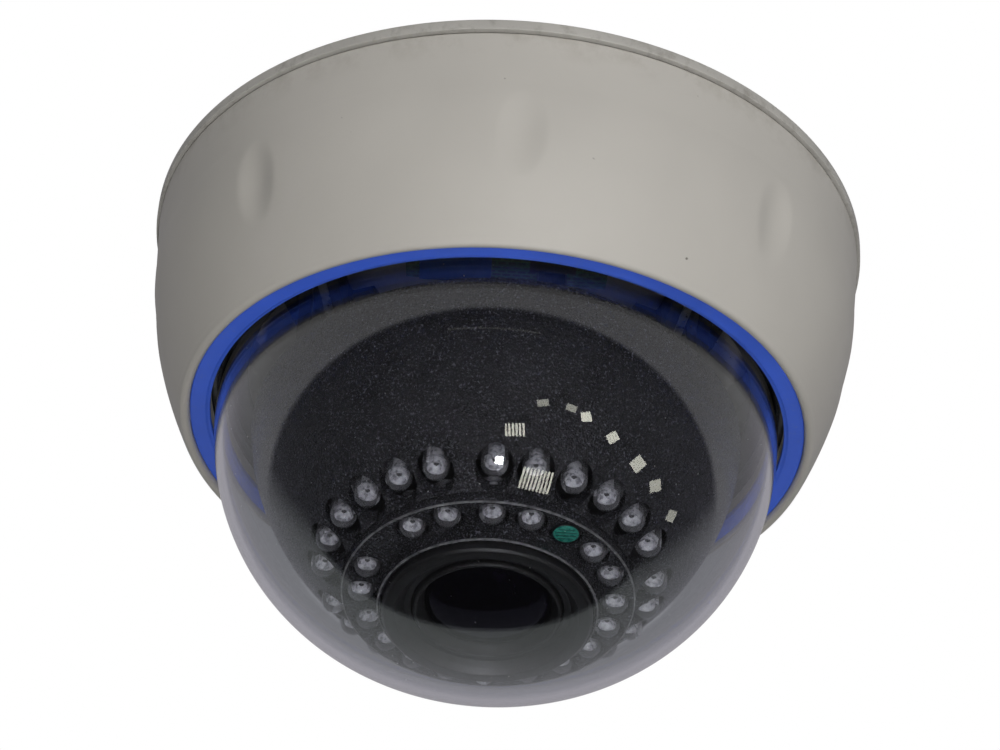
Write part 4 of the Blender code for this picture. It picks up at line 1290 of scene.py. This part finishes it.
def stage():
    """Camera, lights, world and a pale floor well below the hanging camera."""
    looks = bpy.context.scene.dome_camera_stage
    bpy.context.scene.view_settings.view_transform = "Standard"
    eye = camera()
    place = eye.matrix_world.translation
    right = eye.matrix_world.to_3x3() @ Vector((1, 0, 0))
    up = eye.matrix_world.to_3x3() @ Vector((0, 1, 0))
    soft_light("key", place + right * 0.2 + up * 0.3, 0.4, looks.key_power)
    soft_light("flash", DOME_MIDDLE + Vector(FLASH_WAY) * 0.6, FLASH_SIZE, looks.flash_power, mirrored=True)
    soft_light("side", Vector((1.4, -0.6, 0.3)), 1.0, looks.side_power)
    soft_light("above", Vector((-0.8, 0.9, 1.5)), 1.2, looks.above_power)
    for name, (way, across, count, turn, power) in FIXTURES.items():
        tubes(name, way, across, count, turn, power)
    studio_world()
    size = FLOOR_HALF
    points = np.array([(-size, -size, 0), (size, -size, 0), (size, size, 0), (-size, size, 0)], dtype=float)
    points[:, 2] = -looks.floor_drop / MM
    floor = put_mesh("floor", points, [np.array([[0, 1, 2, 3]])], "matt_floor")
    floor.visible_glossy = False
    floor.visible_transmission = False
    floor.visible_diffuse = False


# ---- settings ----


def length(name, description, default):
    """A length in millimetres."""
    return bpy.props.FloatProperty(name=name, description=description + ", in mm", default=default, min=0.0)


class DomeCameraSizes(bpy.types.PropertyGroup):
    """Sizes that can change without the frame's parts changing"""

    dimple_count: bpy.props.IntProperty(
        name="Dimples", description="Dimples around the housing", default=8, min=1
    )
    dimple_turn: bpy.props.FloatProperty(
        name="Dimple turn", description="First dimple's turn", default=math.radians(1.0), subtype="ANGLE"
    )
    dimple_width: length("Dimple width", "Width of a dimple", 10.0)
    dimple_height: length("Dimple height", "Height of a dimple", 18.0)
    dimple_depth: length("Dimple depth", "Depth of a dimple", 1.0)
    pocket_radius: length("Pocket radius", "Radius of the pocket round each lamp", 3.4)
    ball_step: length("Ball step", "Where the ball's moulding step lies along the lens axis", 14.0)


def tint(name, description, code):
    """A colour of one plastic or metal."""
    return bpy.props.FloatVectorProperty(
        name=name, description=description, subtype="COLOR", size=4, min=0.0, max=1.0, default=srgb(code)
    )


class DomeCameraFinishes(bpy.types.PropertyGroup):
    """Colours of the main pieces"""

    housing: tint("Housing", "Colour of the housing", "C3BFB8")
    base: tint("Base", "Colour of the base plate", "B9B6B0")
    trim: tint("Trim", "Colour of the trim ring", "4470F2")
    ball: tint("Ball", "Colour of the ball", "242427")
    dome: tint("Dome", "Tint of the dome", "E3E4EA")


def brightness(name, description, default):
    """A level of the surroundings."""
    return bpy.props.FloatProperty(
        name=name, description=description, default=default, min=0.0, subtype="FACTOR"
    )


def power(name, description, default):
    """Power of a light."""
    return bpy.props.FloatProperty(
        name=name, description=description, default=default, min=0.0, unit="POWER"
    )


class DomeCameraStage(bpy.types.PropertyGroup):
    """Levels of the lights and surroundings"""

    backdrop_level: brightness("Backdrop", "Backdrop brightness", 1.0)
    through_level: brightness("Through", "Backdrop seen through the dome", 0.25)
    fill_level: brightness("Fill", "Soft light from all around", 0.19)
    room_level: brightness("Room", "Dark part of the reflections", 0.015)
    ceiling_level: brightness("Ceiling", "Reflected ceiling", 0.47)
    wall_level: brightness("Wall", "Reflected wall behind the object", 0.38)
    key_power: power("Key", "Large soft light over the camera", 2.0)
    flash_power: power("Flash", "Small light at the camera", 1.0)
    side_power: power("Side", "Light from the right", 1.0)
    above_power: power("Above", "Light from above and behind", 5.0)
    floor_drop: bpy.props.FloatProperty(
        name="Floor drop", description="Floor below the ceiling face", default=0.8, unit="LENGTH"
    )


# ---- operators ----


class DOMECAMERA_OT_base(bpy.types.Operator):
    """Add the base plate, gasket, cover seal and grommet"""

    bl_idname = "dome_camera.base"
    bl_label = "Add Base"

    def execute(self, context):
        base_plate()
        base_seals()
        return {"FINISHED"}


class DOMECAMERA_OT_housing(bpy.types.Operator):
    """Add the housing with its dimples, bosses and lugs"""

    bl_idname = "dome_camera.housing"
    bl_label = "Add Housing"

    def execute(self, context):
        housing()
        return {"FINISHED"}


class DOMECAMERA_OT_trim(bpy.types.Operator):
    """Add the blue trim ring"""

    bl_idname = "dome_camera.trim"
    bl_label = "Add Trim Ring"

    def execute(self, context):
        trim_ring()
        return {"FINISHED"}


class DOMECAMERA_OT_dome(bpy.types.Operator):
    """Add the clear dome, its seal, retainer ring and screws"""

    bl_idname = "dome_camera.dome"
    bl_label = "Add Dome"

    def execute(self, context):
        dome()
        dome_fixings()
        return {"FINISHED"}


class DOMECAMERA_OT_ball(bpy.types.Operator):
    """Add the black ball and its raised front"""

    bl_idname = "dome_camera.ball"
    bl_label = "Add Ball"

    def execute(self, context):
        ball_shell()
        front_cap()
        return {"FINISHED"}


class DOMECAMERA_OT_lamps(bpy.types.Operator):
    """Add the two rows of infrared lamps and the light sensor"""

    bl_idname = "dome_camera.lamps"
    bl_label = "Add Lamps"

    def execute(self, context):
        lamps()
        light_sensor()
        return {"FINISHED"}


class DOMECAMERA_OT_lens(bpy.types.Operator):
    """Add the hood, front barrel, glass and the two grip rings"""

    bl_idname = "dome_camera.lens"
    bl_label = "Add Lens"

    def execute(self, context):
        lens_front()
        knurled_rings()
        return {"FINISHED"}


class DOMECAMERA_OT_kept(bpy.types.Operator):
    """Give the inner parts their finishes"""

    bl_idname = "dome_camera.kept"
    bl_label = "Finish Inner Parts"

    def execute(self, context):
        dress_kept_nodes()
        return {"FINISHED"}


class DOMECAMERA_OT_stage(bpy.types.Operator):
    """Add the camera, lights, world and floor"""

    bl_idname = "dome_camera.stage"
    bl_label = "Add Stage"

    def execute(self, context):
        stage()
        return {"FINISHED"}


OPERATORS = (
    DOMECAMERA_OT_base, DOMECAMERA_OT_housing, DOMECAMERA_OT_trim, DOMECAMERA_OT_dome,
    DOMECAMERA_OT_ball, DOMECAMERA_OT_lamps, DOMECAMERA_OT_lens, DOMECAMERA_OT_kept, DOMECAMERA_OT_stage,
)
SETTINGS = {
    "dome_camera_sizes": DomeCameraSizes,
    "dome_camera_finishes": DomeCameraFinishes,
    "dome_camera_stage": DomeCameraStage,
}


class DOMECAMERA_PT_panel(bpy.types.Panel):
    """Sizes, colours and the steps that build the camera"""

    bl_label = "Dome Camera"
    bl_idname = "DOMECAMERA_PT_panel"
    bl_space_type = "VIEW_3D"
    bl_region_type = "UI"
    bl_category = "Dome Camera"

    def draw(self, context):
        for group in SETTINGS:
            box = self.layout.box()
            settings = getattr(context.scene, group)
            for key in type(settings).__annotations__:
                box.prop(settings, key)
        for operator in OPERATORS:
            self.layout.operator(operator.bl_idname)


CLASSES = (*SETTINGS.values(), *OPERATORS, DOMECAMERA_PT_panel)


def register():
    for item in CLASSES:
        bpy.utils.register_class(item)
    for group, kind in SETTINGS.items():
        setattr(bpy.types.Scene, group, bpy.props.PointerProperty(type=kind))


def unregister():
    for group in SETTINGS:
        delattr(bpy.types.Scene, group)
    for item in reversed(CLASSES):
        bpy.utils.unregister_class(item)


def main():
    """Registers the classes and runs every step."""
    register()
    for operator in OPERATORS:
        family, name = operator.bl_idname.split(".")
        getattr(getattr(bpy.ops, family), name)()


if __name__ == "__main__":
    main()
